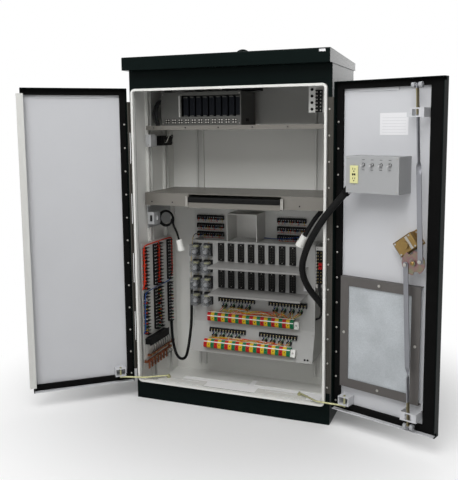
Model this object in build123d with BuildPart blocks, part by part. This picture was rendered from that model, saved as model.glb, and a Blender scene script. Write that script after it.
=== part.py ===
from build123d import *

import os
from math import atan2, cos, hypot, radians, sin, tan

# Roadside traffic-signal cabinet, millimetres, +Z up, front towards -Y.
# The origin is the middle of the base, on the ground.

# Enclosure
width = 914.4
depth = 431.8
eave_height = 1500.0
sheet = 3.2
bend_radius = 4.0
wall_lap = 22.0
overrun = 1.0
fit_gap = 0.3

# Door opening and its rim
jamb = 27.2
header = 88.0
sill_height = 96.0
rim_width = 10.0
rim_depth = 21.0
opening_radius = 10.0

# Base flange and anchor slots
base_flange_side = 100.0
base_flange_front = 66.0
base_flange_rear = 116.0
anchor_slot_width = 28.0
anchor_slot_reach = 55.0

# Exhaust slots behind the roof lip
vent_count = 8
vent_pitch = 100.0
vent_length = 80.0
vent_height = 8.0

# Roof
roof_front_rise = 56.0
roof_rear_rise = 33.0
roof_front_overhang = 55.0
roof_rear_overhang = 18.0
roof_edge_radius = 6.0
eye_collar_radius = 11.0
eye_collar_height = 8.0
eye_bow_radius = 38.0
eye_wire_radius = 6.0

# Plenum deck and fan
deck_drop = 48.0
deck_sheet = 2.5
deck_flange = 18.0
fan_hole_radius = 60.0
fan_size = 150.0
fan_thickness = 38.0
fan_corner_radius = 12.0
fan_hub_radius = 22.0
fan_hub_bore = 10.3
fan_strut_width = 8.0
fan_strut_height = 4.0
fan_axle_radius = 10.0
fan_blade_count = 5
fan_blade_length = 32.0
fan_blade_chord = 26.0
fan_blade_thickness = 2.5
fan_blade_pitch = 32.0

# Mounting channels
channel_width = 41.0
channel_depth = 14.0
channel_sheet = 2.0
channel_mouth = 22.0
channel_bottom = 40.0
channel_top_gap = 12.0
channel_front_setback = 156.0
channel_rear_setback = 106.0
rear_channel_x = 303.0

# Shelves
shelf_sheet = 2.5
upper_shelf_top = 1261.0
upper_shelf_setback = 116.0
upper_shelf_lip = 19.0
lower_shelf_top = 955.0
lower_shelf_setback = 91.0
lower_shelf_lip = 57.0
lip_hole_count = 6
lip_hole_radius = 2.5
lip_hole_margin = 40.0

# Drawer
drawer_width = 436.0
drawer_depth = 262.0
drawer_tray_height = 44.0
drawer_drop = 62.0
drawer_sheet = 2.0
drawer_lip_height = 24.0
drawer_lip_proud = 8.0
runner_thickness = 5.0
runner_height = 46.0
pull_height = 24.0
pull_depth = 14.0
pull_radius = 6.0

# Card rack
rack_left = -379.0
rack_width = 393.0
rack_head_room = 3.0
rack_setback = 156.0
rack_depth = 190.0
rack_sheet = 1.6
rack_window_left = 102.0
rack_window_width = 286.0
rack_window_bottom = 40.0
rack_window_head = 16.0
rack_port_count = 11
rack_port_pitch = 33.0
rack_port_width = 24.0
rack_port_height = 22.0
rack_port_bottom = 8.0
card_count = 9
card_pitch = 32.0
card_thickness = 3.0
card_head_room = 22.0
card_inset = 12.0
card_depth = 150.0

# Jack bar, high on the right
jack_left = 327.0
jack_bar_width = 29.0
jack_bar_height = 109.0
jack_bar_thickness = 4.0
jack_bar_bottom = 1310.0
jack_bracket_sheet = 2.0
jack_hole_count = 4
jack_hole_radius = 4.5
jack_strip_gap = 2.0

# Power units on the left wall
power_plate_sheet = 2.5
power_overhang = 26.0
power_plate_bottom = 786.0
power_plate_height = 100.0
outlet_box_size = 56.0
outlet_box_depth = 28.0
outlet_box_bottom = 1165.0
surge_length = 110.0
surge_height = 46.0
surge_depth = 34.0
surge_bottom = 1168.0
surge_step = 6.0
breaker_width = 62.0
breaker_height = 56.0
breaker_depth = 32.0
breaker_bottom = 805.0
breaker_toggle_width = 14.0
breaker_toggle_height = 20.0
breaker_toggle_proud = 6.0

# Rear panel, right plate and centre bracket
panel_sheet = 2.5
rear_panel_side = 335.0
rear_panel_bottom = 714.0
rear_panel_height = 152.0
right_plate_bottom = 520.0
right_plate_height = 190.0
bracket_left = -110.0
bracket_width = 150.0
bracket_bottom = 712.0
bracket_height = 133.0

# Load panel
load_left = -290.0
load_right = 322.0
load_face_setback = 283.0
load_top = 712.0
desk_crease = 310.0
desk_bottom = 172.0
desk_reach = 50.0
desk_lip = 24.0
ledge_left = -152.0
ledge_length = 442.0
ledge_depth = 142.0
ledge_lip = 9.0
ledge_sheet = 2.0
ledge_heights = (612.0, 485.0)

# Load-switch sockets
socket_count = 8
socket_pitch = 50.8
socket_first_x = -139.0
socket_width = 30.0
socket_height = 86.0
socket_proud = 9.0
socket_recess = 4.0
socket_wall = 3.0
socket_middles = (660.0, 530.0)

# Flash-transfer relays
relay_columns = (-262.0, -205.0)
relay_rows = (668.0, 588.0, 508.0, 428.0)
relay_width = 42.0
relay_height = 60.0
relay_base_proud = 14.0
relay_cover_depth = 46.0
relay_cover_inset = 2.0
relay_cover_wall = 2.0

# Flash plugs
plug_radius = 12.0
plug_proud = 16.0
plug_pitch = 40.0
plug_lefts = (-122.0, 134.0)
plug_level = 398.0
desk_plug_lefts = (-168.0, 87.0)
desk_plug_drop = 64.2
plugs_in_row = 4

# Barrier terminal strips
strip_pitch = 15.0
strip_poles = 12
strip_width = 22.0
strip_base = 9.0
strip_fin = 18.0
strip_fin_thickness = 3.0
rear_strip_blocks = 3
rear_block_pitch = 46.0
wall_strip_blocks = 3
wall_block_pitch = 65.0
wall_strip_fin = 22.0
wall_strip_width = 28.0
right_strip_poles = 10
jack_strip_poles = 6
bay_strip_lefts = (-151.0, 103.0)
bay_strip_top = 441.0
desk_strip_lefts = (-195.0, 59.0)
desk_strip_drop = 25.6
rear_strip_lefts = (-315.0, 105.0)
rear_strip_tops = (818.0, 777.0, 736.0)
wall_strip_ys = (-168.0, -70.0, -25.0, 76.0)
wall_strip_bottoms = (288.0, 504.0)
right_strip_left = 330.0
right_strip_bottom = 540.0

# Field terminal blocks
block_pitch = 18.0
block_groups = 8
block_gap = 0.6
block_depth = 36.0
block_height = 44.0
block_chamfer = 12.0
block_step = 3.5
block_left = -203.0
block_level = 343.0
desk_block_left = -209.5
desk_block_drop = 104.2
marker_height = 7.0
marker_proud = 2.0
clamp_width = 22.0
clamp_chamfer = 9.0

# Left wall panel with its connector and bus bars
wall_panel_front_setback = 36.0
wall_panel_length = 312.0
wall_panel_bottom = 128.0
wall_panel_height = 594.0
connector_length = 193.0
connector_height = 28.0
connector_depth = 30.0
connector_start_y = -165.0
connector_bottom = 240.0
connector_lip = 4.0
bus_length = 262.0
bus_height = 10.0
bus_thickness = 6.0
bus_standoff = 10.0
bus_places = ((-146.0, 176.0), (-178.0, 154.0))
bus_link_count = 7
bus_link_pitch = 30.0
bus_link_width = 14.0
bus_link_length = 40.0
bus_link_thickness = 4.0

# Sill plates for the door stays
stay_plate_inner = 122.0
stay_plate_outer = 352.0
stay_plate_reach = 52.0
stay_plate_sheet = 2.5
stay_slot_inner = 155.0
stay_slot_outer = 325.0
stay_slot_width = 10.0
stay_line_setback = 39.0

# Doors and hinges
left_open = 140.0
right_open = 161.0
door_lap_bottom = 6.0
door_lap_top = 4.0
rim_notch_gap = 2.0
door_depth = 36.0
door_gap = 3.0
door_meeting_gap = 4.6
knuckle_radius = 4.5
knuckle_bore = 2.8
hinge_pin_radius = 2.5
hinge_clearance = 0.5
hinge_leaf = 2.0
hinge_leaf_width = 16.0
door_leaf_width = 22.0
hinge_margin = 59.0
hinge_knuckles = 9
knuckle_gap = 0.4
leaf_relief = 0.7

# Gaskets and centre strip
gasket_width = 25.0
gasket_free_width = 46.0
gasket_free_margin = 11.6
gasket_margin = 1.0
seal_clearance = 0.9
strip_lap_inside = 12.0
strip_lap_beyond = 17.0
strip_leg = 16.0
strip_margin = 24.0
strip_standoff = 0.5

# Plan hanger strips on the doors
hanger_start = 95.0
hanger_length = 300.0
right_hanger_length = 175.0
hanger_height = 12.0
hanger_thickness = 3.0
hanger_drop = 30.0

# Louvres in the right door
louvre_columns = (75.0, 215.0)
louvre_rows = 10
louvre_pitch = 36.0
louvre_length = 118.0
louvre_height = 20.0
louvre_proud = 11.0
louvre_bottom = 245.0
louvre_wall = 1.5

# Filter
filter_left = 40.0
filter_width = 346.0
filter_bottom = 188.0
filter_height = 462.0
filter_border = 37.0
filter_frame_sheet = 2.0
filter_pad_depth = 22.0
filter_pad_inset = 4.0
filter_pad_peek = 5.0

# Switch box on the right door
box_left = 104.0
box_width = 220.0
box_bottom = 1000.0
box_height = 139.0
box_reach = 70.0
box_sheet = 1.6
outlet_u = 140.0
outlet_rise = 70.0
outlet_width = 34.0
outlet_height = 67.0
outlet_proud = 4.0
toggle_first_u = 178.0
toggle_pitch = 36.5
toggle_count = 4
toggle_rise = 108.0
toggle_pivot_radius = 1.6
toggle_pivot_length = 7.6
toggle_root_radius = 2.0
toggle_taper = 3.0
toggle_length = 17.0
toggle_throw = 14.0
bush_radius = 7.0
bush_proud = 7.0

# Three-point latch on the right door
latch_u = 363.0
latch_z = 745.0
pin_circle = 30.0
pin_lean = 17.0
cam_radius = 46.0
cam_thickness = 4.0
cam_level = 14.0
cam_notch_radius = 13.0
crank_pin_radius = 4.0
crank_pin_length = 9.0
spindle_radius = 8.0
spindle_nut_radius = 12.5
spindle_nut_height = 9.0
boss_radius = 16.0
case_u = 326.0
case_z = 808.0
case_length = 85.0
case_width = 62.0
case_turn = 37.0
case_height = 40.0
case_chamfer = 4.0
case_boss_radius = 15.0
case_boss_height = 10.0
case_plate_sheet = 3.0
case_plate_margin = 12.0
rod_width = 19.0
rod_thickness = 4.0
rod_end_radius = 11.0
upper_rod_end_u = 364.0
upper_rod_end_drop = 30.0
lower_rod_end_u = 361.0
lower_rod_end_rise = 28.0
twist_length = 46.0
twist_steps = 4
upper_twist_share = 0.5
lower_twist_share = 0.62
roller_radius = 11.0
roller_bore = 3.3
roller_width = 12.0
roller_offset = 14.0
rod_tail = 8.0
axle_collar_radius = 6.0
axle_radius = 3.0
axle_overhang = 3.0
guide_width = 66.0
guide_height = 34.0
guide_reach = 33.0
guide_sheet = 2.5
guide_slot = 26.0
guide_slot_floor = 5.0
upper_guide_drop = 97.0
lower_guide_rise = 42.0
guide_u = 364.0

# Outside handle
handle_hub_radius = 24.0
handle_hub_height = 16.0
handle_arm_length = 118.0
handle_arm_width = 20.0
handle_arm_thickness = 12.0
handle_grip_length = 46.0
handle_gap = 0.5

# Door stays
stay_u = 70.0
stay_v = 4.0
stay_rod_radius = 4.0
stay_pin_radius = 4.6
stay_level = 109.0
stay_length = 222.0
stay_bend_share = 0.52
stay_bend_radius = 40.0
left_stay_bend = 18.0
right_stay_bend = 33.0
stay_nut_radius = 9.0
stay_nut_height = 7.0
stay_float = 0.5
stay_bracket_length = 48.0
stay_bracket_height = 36.0
stay_bracket_sheet = 3.0
stay_bracket_reach = 16.0
stay_bracket_bottom = 114.0

# Cables
loom_radius = 14.0
harness_radius = 10.0
tail_radius = 7.0
loom_box_v = 40.0
loom_box_rise = 14.0
loom_bend = 110.0
loom_places = (
    (458.0, -267.0, 915.0),
    (398.0, -241.0, 830.0),
    (346.0, -201.0, 738.0),
    (315.0, -155.0, 645.0),
    (335.0, -115.0, 560.0),
    (388.0, -90.0, 490.0),
)
loom_clip_heights = (425.0, 355.0)
gland_radius = 17.0
gland_length = 30.0
gland_root = 12.0
harness_start = (395.0, -72.0)
harness_bend = 56.0
harness_places = (
    (395.0, -72.0, 905.0),
    (345.0, -70.0, 848.0),
    (308.0, -67.0, 780.0),
)
tail_bend = 40.0
tail_sides = 12
tail_steps = ((0.0, 0.0, -30.0), (22.0, 0.0, -65.0), (30.0, 0.0, -100.0))
coil_sides = 24
coil_y = -19.0
coil_height = 823.0
coil_outer = 48.0
coil_inner = 26.0
coil_thickness = 24.0
harness_plug_radius = 16.0
harness_plug_length = 54.0
harness_ring_radius = 18.5
harness_ring_length = 18.0

# Heights follow the eave: each is drawn for an eave at drawn_eave and keeps its share of it
drawn_eave = 1500.0
rise = eave_height / drawn_eave
upper_shelf_top, lower_shelf_top = rise * upper_shelf_top, rise * lower_shelf_top
jack_bar_bottom, surge_bottom = rise * jack_bar_bottom, rise * surge_bottom
power_plate_bottom, outlet_box_bottom = rise * power_plate_bottom, rise * outlet_box_bottom
breaker_bottom, coil_height = rise * breaker_bottom, rise * coil_height
rear_panel_bottom, rear_panel_height = rise * rear_panel_bottom, rise * rear_panel_height
right_plate_bottom, right_plate_height = rise * right_plate_bottom, rise * right_plate_height
bracket_bottom, bracket_height = rise * bracket_bottom, rise * bracket_height
load_top, desk_crease, desk_bottom = rise * load_top, rise * desk_crease, rise * desk_bottom
ledge_heights = [rise * height for height in ledge_heights]
socket_middles = [rise * middle for middle in socket_middles]
socket_height, relay_height = rise * socket_height, rise * relay_height
relay_rows = [rise * row for row in relay_rows]
plug_level, desk_plug_drop = rise * plug_level, rise * desk_plug_drop
bay_strip_top, desk_strip_drop = rise * bay_strip_top, rise * desk_strip_drop
strip_width, block_height = rise * strip_width, rise * block_height
block_level, desk_block_drop = rise * block_level, rise * desk_block_drop
rear_strip_tops = [rise * top for top in rear_strip_tops]
wall_strip_bottoms = [rise * bottom for bottom in wall_strip_bottoms]
wall_block_pitch, right_strip_bottom = rise * wall_block_pitch, rise * right_strip_bottom
wall_panel_bottom, wall_panel_height = rise * wall_panel_bottom, rise * wall_panel_height
connector_bottom = rise * connector_bottom
bus_places = [(y, rise * z) for y, z in bus_places]
louvre_bottom, louvre_pitch = rise * louvre_bottom, rise * louvre_pitch
filter_bottom, filter_height = rise * filter_bottom, rise * filter_height
box_bottom, latch_z, case_z = rise * box_bottom, rise * latch_z, rise * case_z
loom_places = [(x, y, rise * z) for x, y, z in loom_places]
loom_clip_heights = [rise * height for height in loom_clip_heights]
harness_places = [(x, y, rise * z) for x, y, z in harness_places]
deck_height = eave_height - deck_drop
channel_top = deck_height - channel_top_gap
rack_height = deck_height - fan_thickness - rack_head_room - upper_shelf_top
rack_window_height = rack_height - rack_window_bottom - rack_window_head
card_height = rack_height - card_head_room
outlet_z = box_bottom + outlet_rise
toggle_z = box_bottom + toggle_rise

# Derived frame of the enclosure
side = width / 2
front = -depth / 2
rear = depth / 2
inner_side = side - sheet
inner_rear = rear - sheet
wall_top = eave_height + wall_lap
opening_side = side - jamb
opening_top = eave_height - header
opening_height = opening_top - sill_height
opening_middle = (opening_top + sill_height) / 2
channel_face_x = inner_side - channel_depth
channel_face_y = inner_rear - channel_depth
channel_front_y = front + channel_front_setback
channel_rear_y = rear - channel_rear_setback
upper_shelf_front = front + upper_shelf_setback
lower_shelf_front = front + lower_shelf_setback
load_face = front + load_face_setback
front_plane = Plane.XZ.offset(-front)

# Derived frame of the doors, with u from the hinge to the free edge and v into the cabinet
hinge_x = side + knuckle_radius + hinge_clearance
hinge_y = front - knuckle_radius - hinge_clearance
door_start = hinge_x - side
door_end = hinge_x - door_meeting_gap
lip_v = front - door_gap - hinge_y
skin_outer_v = lip_v - door_depth
skin_v = skin_outer_v + sheet
rim_front_v = front - rim_depth - hinge_y
door_bottom = sill_height - rim_width - door_lap_bottom
door_top = opening_top + rim_width + door_lap_top
upper_rod_end_z = door_top - upper_rod_end_drop
lower_rod_end_z = door_bottom + lower_rod_end_rise
guide_middles = (upper_rod_end_z - upper_guide_drop, lower_rod_end_z + lower_guide_rise)
hinge_bottom = door_bottom + hinge_margin
hinge_top = door_top - hinge_margin
knuckle_length = (hinge_top - hinge_bottom) / hinge_knuckles
rod_level = cam_level + cam_thickness + fit_gap + rod_thickness / 2


def door_plane(turn, hand):
    """Frame of a door at its hinge axis: x is u, z is up; hand is 1 on the left and -1 on the right."""
    return Plane(
        origin=(-hand * hinge_x, hinge_y, 0),
        x_dir=(hand * cos(radians(turn)), -sin(radians(turn)), 0),
        z_dir=(0, 0, 1),
    )


left_frame = door_plane(left_open, 1)
right_frame = door_plane(right_open, -1)


def face_plane(u, v, z):
    """Plane on the right door: x is u, y is up and the normal points into the cabinet."""
    return Plane(
        origin=right_frame.from_local_coords(Vector(u, -v, z)),
        x_dir=right_frame.x_dir,
        z_dir=-right_frame.y_dir,
    )


def turned(plane, rotation):
    """A plane turned about its own axes."""
    return Plane(plane.location * Location((0, 0, 0), rotation))


def slab(x, y, z, mode=Mode.ADD):
    """A block between two limits on each axis of the current work plane."""
    middle = ((x[0] + x[1]) / 2, (y[0] + y[1]) / 2, (z[0] + z[1]) / 2)
    with Locations(middle):
        Box(abs(x[1] - x[0]), abs(y[1] - y[0]), abs(z[1] - z[0]), mode=mode)


def wall_plane(x, y, z, inward):
    """Horizontal plane at a wall whose y axis points into the cabinet."""
    return Plane(origin=(x, y, z), x_dir=Vector(inward).cross(Vector(0, 0, 1)), z_dir=(0, 0, 1))


def roof_height(y):
    """Height of the roof's upper face, which falls from front to rear."""
    run = depth + roof_front_overhang + roof_rear_overhang
    fall_share = (y - front + roof_front_overhang) / run
    return eave_height + roof_front_rise - (roof_front_rise - roof_rear_rise) * fall_share


# Enclosure
with BuildPart() as cabinet_shell:
    with BuildSketch():
        RectangleRounded(width, depth, bend_radius)
    extrude(amount=wall_top)
    with BuildSketch(Plane.XY.offset(sheet)):
        RectangleRounded(width - 2 * sheet, depth - 2 * sheet, bend_radius - sheet)
    extrude(amount=wall_top, mode=Mode.SUBTRACT)
    floor_front = front + base_flange_front
    floor_rear = rear - base_flange_rear
    floor_side = side - base_flange_side
    floor_middle = (floor_front + floor_rear) / 2
    with BuildSketch():
        with Locations((0, floor_middle)):
            Rectangle(2 * floor_side, floor_rear - floor_front)
        with Locations((0, floor_front), (0, floor_rear)):
            SlotOverall(2 * anchor_slot_reach, anchor_slot_width, rotation=90)
        with Locations((-floor_side, floor_middle), (floor_side, floor_middle)):
            SlotOverall(2 * anchor_slot_reach, anchor_slot_width)
    extrude(amount=sheet, mode=Mode.SUBTRACT)
    with BuildSketch(front_plane):
        with Locations((0, opening_middle)):
            RectangleRounded(
                2 * (opening_side + rim_width),
                opening_height + 2 * rim_width,
                opening_radius + rim_width,
            )
    extrude(amount=rim_depth)
    with BuildSketch(front_plane.offset(rim_depth)):
        with Locations((0, opening_middle)):
            RectangleRounded(2 * opening_side, opening_height, opening_radius)
    extrude(amount=-rim_depth - sheet, mode=Mode.SUBTRACT)
    with BuildSketch(front_plane):
        with Locations((0, eave_height + wall_lap / 2)):
            with GridLocations(vent_pitch, vent_pitch, vent_count, 1):
                SlotOverall(vent_length, vent_height)
    extrude(amount=-sheet, mode=Mode.SUBTRACT)

with BuildPart() as roof_cap:
    roof_front = front - roof_front_overhang
    roof_rear = rear + roof_rear_overhang
    with BuildSketch(Plane.YZ):
        Polygon(
            (roof_front, eave_height),
            (roof_front, eave_height + roof_front_rise),
            (roof_rear, eave_height + roof_rear_rise),
            (roof_rear, eave_height),
            align=None,
        )
    extrude(amount=side + sheet, both=True)
    fillet(roof_cap.edges().filter_by(Axis.X).group_by(Axis.Z)[-1], roof_edge_radius)
    with BuildSketch(Plane.YZ):
        Polygon(
            (front, eave_height - overrun),
            (front, eave_height + sheet),
            (roof_front + sheet, eave_height + sheet),
            (roof_front + sheet, eave_height + roof_front_rise - sheet),
            (roof_rear - sheet, eave_height + roof_rear_rise - sheet),
            (roof_rear - sheet, eave_height - overrun),
            align=None,
        )
    extrude(amount=side, both=True, mode=Mode.SUBTRACT)
    roof_run = depth + roof_front_overhang + roof_rear_overhang
    roof_plane = Plane(
        origin=(0, 0, roof_height(0)),
        x_dir=(1, 0, 0),
        z_dir=(0, roof_front_rise - roof_rear_rise, roof_run),
    )
    with BuildSketch(roof_plane.offset(-sheet / 2)):
        with Locations((-eye_bow_radius, 0), (eye_bow_radius, 0)):
            Circle(eye_collar_radius)
    extrude(amount=eye_collar_height + sheet / 2)
    bow_plane = roof_plane.offset(eye_collar_height)
    with BuildSketch(bow_plane):
        with Locations((eye_bow_radius, 0)):
            Circle(eye_wire_radius)
    revolve(axis=Axis(bow_plane.origin, -bow_plane.y_dir), revolution_arc=180)

# Plenum deck with its exhaust fan
with BuildPart() as plenum_deck:
    with BuildSketch(Plane.XY.offset(deck_height)):
        RectangleRounded(2 * inner_side, 2 * inner_rear, bend_radius - sheet)
        Circle(fan_hole_radius, mode=Mode.SUBTRACT)
    extrude(amount=deck_sheet)
    with BuildSketch(Plane.XY.offset(deck_height + deck_sheet)):
        RectangleRounded(2 * inner_side, 2 * inner_rear, bend_radius - sheet)
        Rectangle(2 * (inner_side - deck_sheet), 2 * (inner_rear - deck_sheet), mode=Mode.SUBTRACT)
    extrude(amount=deck_flange)

fan_bottom = deck_height - fan_thickness
with BuildPart() as fan_housing:
    with BuildSketch(Plane.XY.offset(fan_bottom)):
        RectangleRounded(fan_size, fan_size, fan_corner_radius)
        Circle(fan_hole_radius, mode=Mode.SUBTRACT)
    extrude(amount=fan_thickness)
    with BuildSketch(Plane.XY.offset(fan_bottom)):
        Rectangle(2 * fan_hole_radius + fan_strut_width, fan_strut_width)
        Rectangle(fan_strut_width, 2 * fan_hole_radius + fan_strut_width)
        Circle(fan_hub_radius)
        Circle(fan_hub_bore, mode=Mode.SUBTRACT)
    extrude(amount=fan_strut_height)

with BuildPart() as fan_rotor:
    hub_bottom = fan_bottom + fan_strut_height + overrun
    hub_height = fan_thickness - 2 * fan_strut_height
    with BuildSketch(Plane.XY.offset(fan_bottom)):
        Circle(fan_axle_radius)
    extrude(amount=fan_strut_height + 2 * overrun)
    with BuildSketch(Plane.XY.offset(hub_bottom)):
        Circle(fan_hub_radius)
    extrude(amount=hub_height)
    blade_middle = fan_hub_radius + fan_blade_length / 2
    for blade in range(fan_blade_count):
        turn = 360 * blade / fan_blade_count
        with Locations(Location((0, 0, hub_bottom + hub_height / 2), (0, 0, turn))):
            with Locations(Location((blade_middle - overrun, 0, 0), (fan_blade_pitch, 0, 0))):
                Box(fan_blade_length, fan_blade_chord, fan_blade_thickness)

# Vertical mounting channels on the side and rear walls
side_channel_ys = (channel_front_y, channel_rear_y)
channel_planes = [wall_plane(-inner_side, y, channel_bottom, (1, 0, 0)) for y in side_channel_ys]
channel_planes += [wall_plane(inner_side, y, channel_bottom, (-1, 0, 0)) for y in side_channel_ys]
channel_planes += [
    wall_plane(x, inner_rear, channel_bottom, (0, -1, 0)) for x in (-rear_channel_x, rear_channel_x)
]
with BuildPart() as wall_channels:
    for plane in channel_planes:
        with BuildSketch(plane):
            with Locations((0, channel_depth / 2)):
                Rectangle(channel_width, channel_depth)
                Rectangle(
                    channel_width - 2 * channel_sheet,
                    channel_depth - 2 * channel_sheet,
                    mode=Mode.SUBTRACT,
                )
            with Locations((0, channel_depth - channel_sheet / 2)):
                Rectangle(channel_mouth, channel_sheet, mode=Mode.SUBTRACT)
        extrude(amount=channel_top - channel_bottom)


def shelf_outline(front_y, top, lip):
    """Folded section of a shelf: a flat with its front edge turned down."""
    Polygon(
        (front_y, top),
        (channel_face_y, top),
        (channel_face_y, top - shelf_sheet),
        (front_y + shelf_sheet, top - shelf_sheet),
        (front_y + shelf_sheet, top - lip),
        (front_y, top - lip),
        align=None,
    )


lip_hole_pitch = 2 * (channel_face_x - lip_hole_margin) / (lip_hole_count - 1)
with BuildPart() as upper_shelf:
    with BuildSketch(Plane.YZ):
        shelf_outline(upper_shelf_front, upper_shelf_top, upper_shelf_lip)
    extrude(amount=channel_face_x, both=True)
    with BuildSketch(Plane.XZ.offset(-upper_shelf_front)):
        with Locations((0, upper_shelf_top - upper_shelf_lip / 2)):
            with GridLocations(lip_hole_pitch, lip_hole_pitch, lip_hole_count, 1):
                Circle(lip_hole_radius)
    extrude(amount=-shelf_sheet, mode=Mode.SUBTRACT)

drawer_side = drawer_width / 2
runner_inner = drawer_side + fit_gap
runner_outer = runner_inner + runner_thickness
shelf_under = lower_shelf_top - shelf_sheet
drawer_bottom = lower_shelf_top - drawer_drop
drawer_front = lower_shelf_front - drawer_lip_proud
with BuildPart() as lower_shelf:
    with BuildSketch(Plane.YZ):
        shelf_outline(lower_shelf_front, lower_shelf_top, lower_shelf_lip)
    extrude(amount=channel_face_x, both=True)
    slab(
        (-runner_outer - fit_gap, runner_outer + fit_gap),
        (lower_shelf_front - overrun, lower_shelf_front + shelf_sheet),
        (lower_shelf_top - lower_shelf_lip - overrun, shelf_under),
        mode=Mode.SUBTRACT,
    )
    for hand in (-1, 1):
        slab(
            (hand * runner_inner, hand * runner_outer),
            (lower_shelf_front, lower_shelf_front + drawer_depth),
            (shelf_under - runner_height, shelf_under),
        )

with BuildPart() as drawer:
    slab(
        (-drawer_side, drawer_side),
        (lower_shelf_front, lower_shelf_front + drawer_depth),
        (drawer_bottom, drawer_bottom + drawer_tray_height),
    )
    slab(
        (-drawer_side + drawer_sheet, drawer_side - drawer_sheet),
        (lower_shelf_front + drawer_sheet, lower_shelf_front + drawer_depth - drawer_sheet),
        (drawer_bottom + drawer_sheet, drawer_bottom + drawer_tray_height + overrun),
        mode=Mode.SUBTRACT,
    )
    slab(
        (-drawer_side, drawer_side),
        (drawer_front, lower_shelf_front),
        (drawer_bottom, drawer_bottom + drawer_lip_height),
    )

with BuildPart() as drawer_pull:
    pull_middle = drawer_bottom + drawer_lip_height + pull_height / 2
    with BuildSketch(Plane.YZ) as pull_outline:
        with Locations((lower_shelf_front - pull_depth / 2, pull_middle)):
            Rectangle(pull_depth, pull_height)
        fillet(pull_outline.vertices().group_by(Axis.X)[0], pull_radius)
    extrude(amount=drawer_side - drawer_sheet, both=True)

# Card rack on the upper shelf
rack_front = front + rack_setback
rack_right = rack_left + rack_width
rack_rear = rack_front + rack_depth
rack_top = upper_shelf_top + rack_height
window_left = rack_left + rack_window_left
window_right = window_left + rack_window_width
window_bottom = upper_shelf_top + rack_window_bottom
with BuildPart() as card_rack:
    slab((rack_left, rack_right), (rack_front, rack_rear), (upper_shelf_top, rack_top))
    slab(
        (rack_left + rack_sheet, rack_right - rack_sheet),
        (rack_front + rack_sheet, rack_rear - rack_sheet),
        (upper_shelf_top + rack_sheet, rack_top - rack_sheet),
        mode=Mode.SUBTRACT,
    )
    slab(
        (window_left, window_right),
        (rack_front - overrun, rack_front + rack_sheet),
        (window_bottom, window_bottom + rack_window_height),
        mode=Mode.SUBTRACT,
    )
    port_middle = upper_shelf_top + rack_port_bottom + rack_port_height / 2
    with BuildSketch(Plane.XZ.offset(-rack_front)):
        with Locations(((rack_left + rack_right) / 2, port_middle)):
            with GridLocations(rack_port_pitch, rack_port_pitch, rack_port_count, 1):
                Rectangle(rack_port_width, rack_port_height)
    extrude(amount=-rack_sheet, mode=Mode.SUBTRACT)

with BuildPart() as rack_cards:
    card_bottom = upper_shelf_top + rack_sheet
    card_middle_y = rack_front + card_inset + card_depth / 2
    with Locations(((window_left + window_right) / 2, card_middle_y, card_bottom + card_height / 2)):
        with GridLocations(card_pitch, card_pitch, card_count, 1):
            Box(card_thickness, card_depth, card_height)

# Jack bar on its bracket from the right front channel
jack_face = channel_front_y - channel_width / 2
jack_top = jack_bar_bottom + jack_bar_height
with BuildPart() as jack_bar:
    slab(
        (jack_left, channel_face_x),
        (jack_face, jack_face + jack_bracket_sheet),
        (jack_bar_bottom, jack_top),
    )
    slab(
        (jack_left, jack_left + jack_bar_width),
        (jack_face - jack_bar_thickness, jack_face),
        (jack_bar_bottom, jack_top),
    )
    with BuildSketch(Plane.XZ.offset(-jack_face + jack_bar_thickness)):
        with Locations((jack_left + jack_bar_width / 2, jack_bar_bottom + jack_bar_height / 2)):
            with GridLocations(jack_bar_width, jack_bar_height / jack_hole_count, 1, jack_hole_count):
                Circle(jack_hole_radius)
    extrude(amount=-jack_bar_thickness - jack_bracket_sheet, mode=Mode.SUBTRACT)

# Power units on the left wall's channels
power_x = -channel_face_x
plate_x = power_x + power_plate_sheet
channel_front_edge = channel_front_y - channel_width / 2
channel_rear_edge = channel_rear_y + channel_width / 2
with BuildPart() as power_units:
    slab(
        (power_x, plate_x),
        (channel_front_edge - power_overhang, channel_rear_edge),
        (power_plate_bottom, power_plate_bottom + power_plate_height),
    )
    slab(
        (plate_x, plate_x + breaker_depth),
        (channel_front_edge - power_overhang, channel_front_edge - power_overhang + breaker_width),
        (breaker_bottom, breaker_bottom + breaker_height),
    )
    breaker_middle_y = channel_front_edge - power_overhang + breaker_width / 2
    with Locations(
        (
            plate_x + breaker_depth + breaker_toggle_proud / 2,
            breaker_middle_y,
            breaker_bottom + breaker_height / 2,
        )
    ):
        Box(breaker_toggle_proud, breaker_toggle_width, breaker_toggle_height)
    slab(
        (power_x, power_x + outlet_box_depth),
        (channel_front_edge - power_overhang, channel_front_edge - power_overhang + outlet_box_size),
        (outlet_box_bottom, outlet_box_bottom + outlet_box_size),
    )

with BuildPart() as surge_units:
    surge_rear = channel_rear_y - channel_mouth / 2
    slab(
        (power_x, power_x + surge_depth),
        (surge_rear - surge_length, surge_rear),
        (surge_bottom, surge_bottom + surge_height),
    )
    slab(
        (power_x + surge_depth, power_x + surge_depth + surge_step),
        (surge_rear - surge_length + surge_step, surge_rear - surge_step),
        (surge_bottom + surge_step, surge_bottom + surge_height - surge_step),
    )

# Rear panel, right plate and the open-fronted centre bracket
rear_panel_face = channel_face_y - panel_sheet
with BuildPart() as rear_panels:
    slab(
        (-rear_panel_side, rear_panel_side),
        (rear_panel_face, channel_face_y),
        (rear_panel_bottom, rear_panel_bottom + rear_panel_height),
    )
    plate_top = right_plate_bottom + right_plate_height
    slab(
        (load_right + panel_sheet, channel_face_x),
        (load_face, load_face + panel_sheet),
        (right_plate_bottom, plate_top),
    )
    slab(
        (channel_face_x - panel_sheet, channel_face_x),
        (load_face, channel_rear_y),
        (right_plate_bottom, plate_top),
    )

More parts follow.
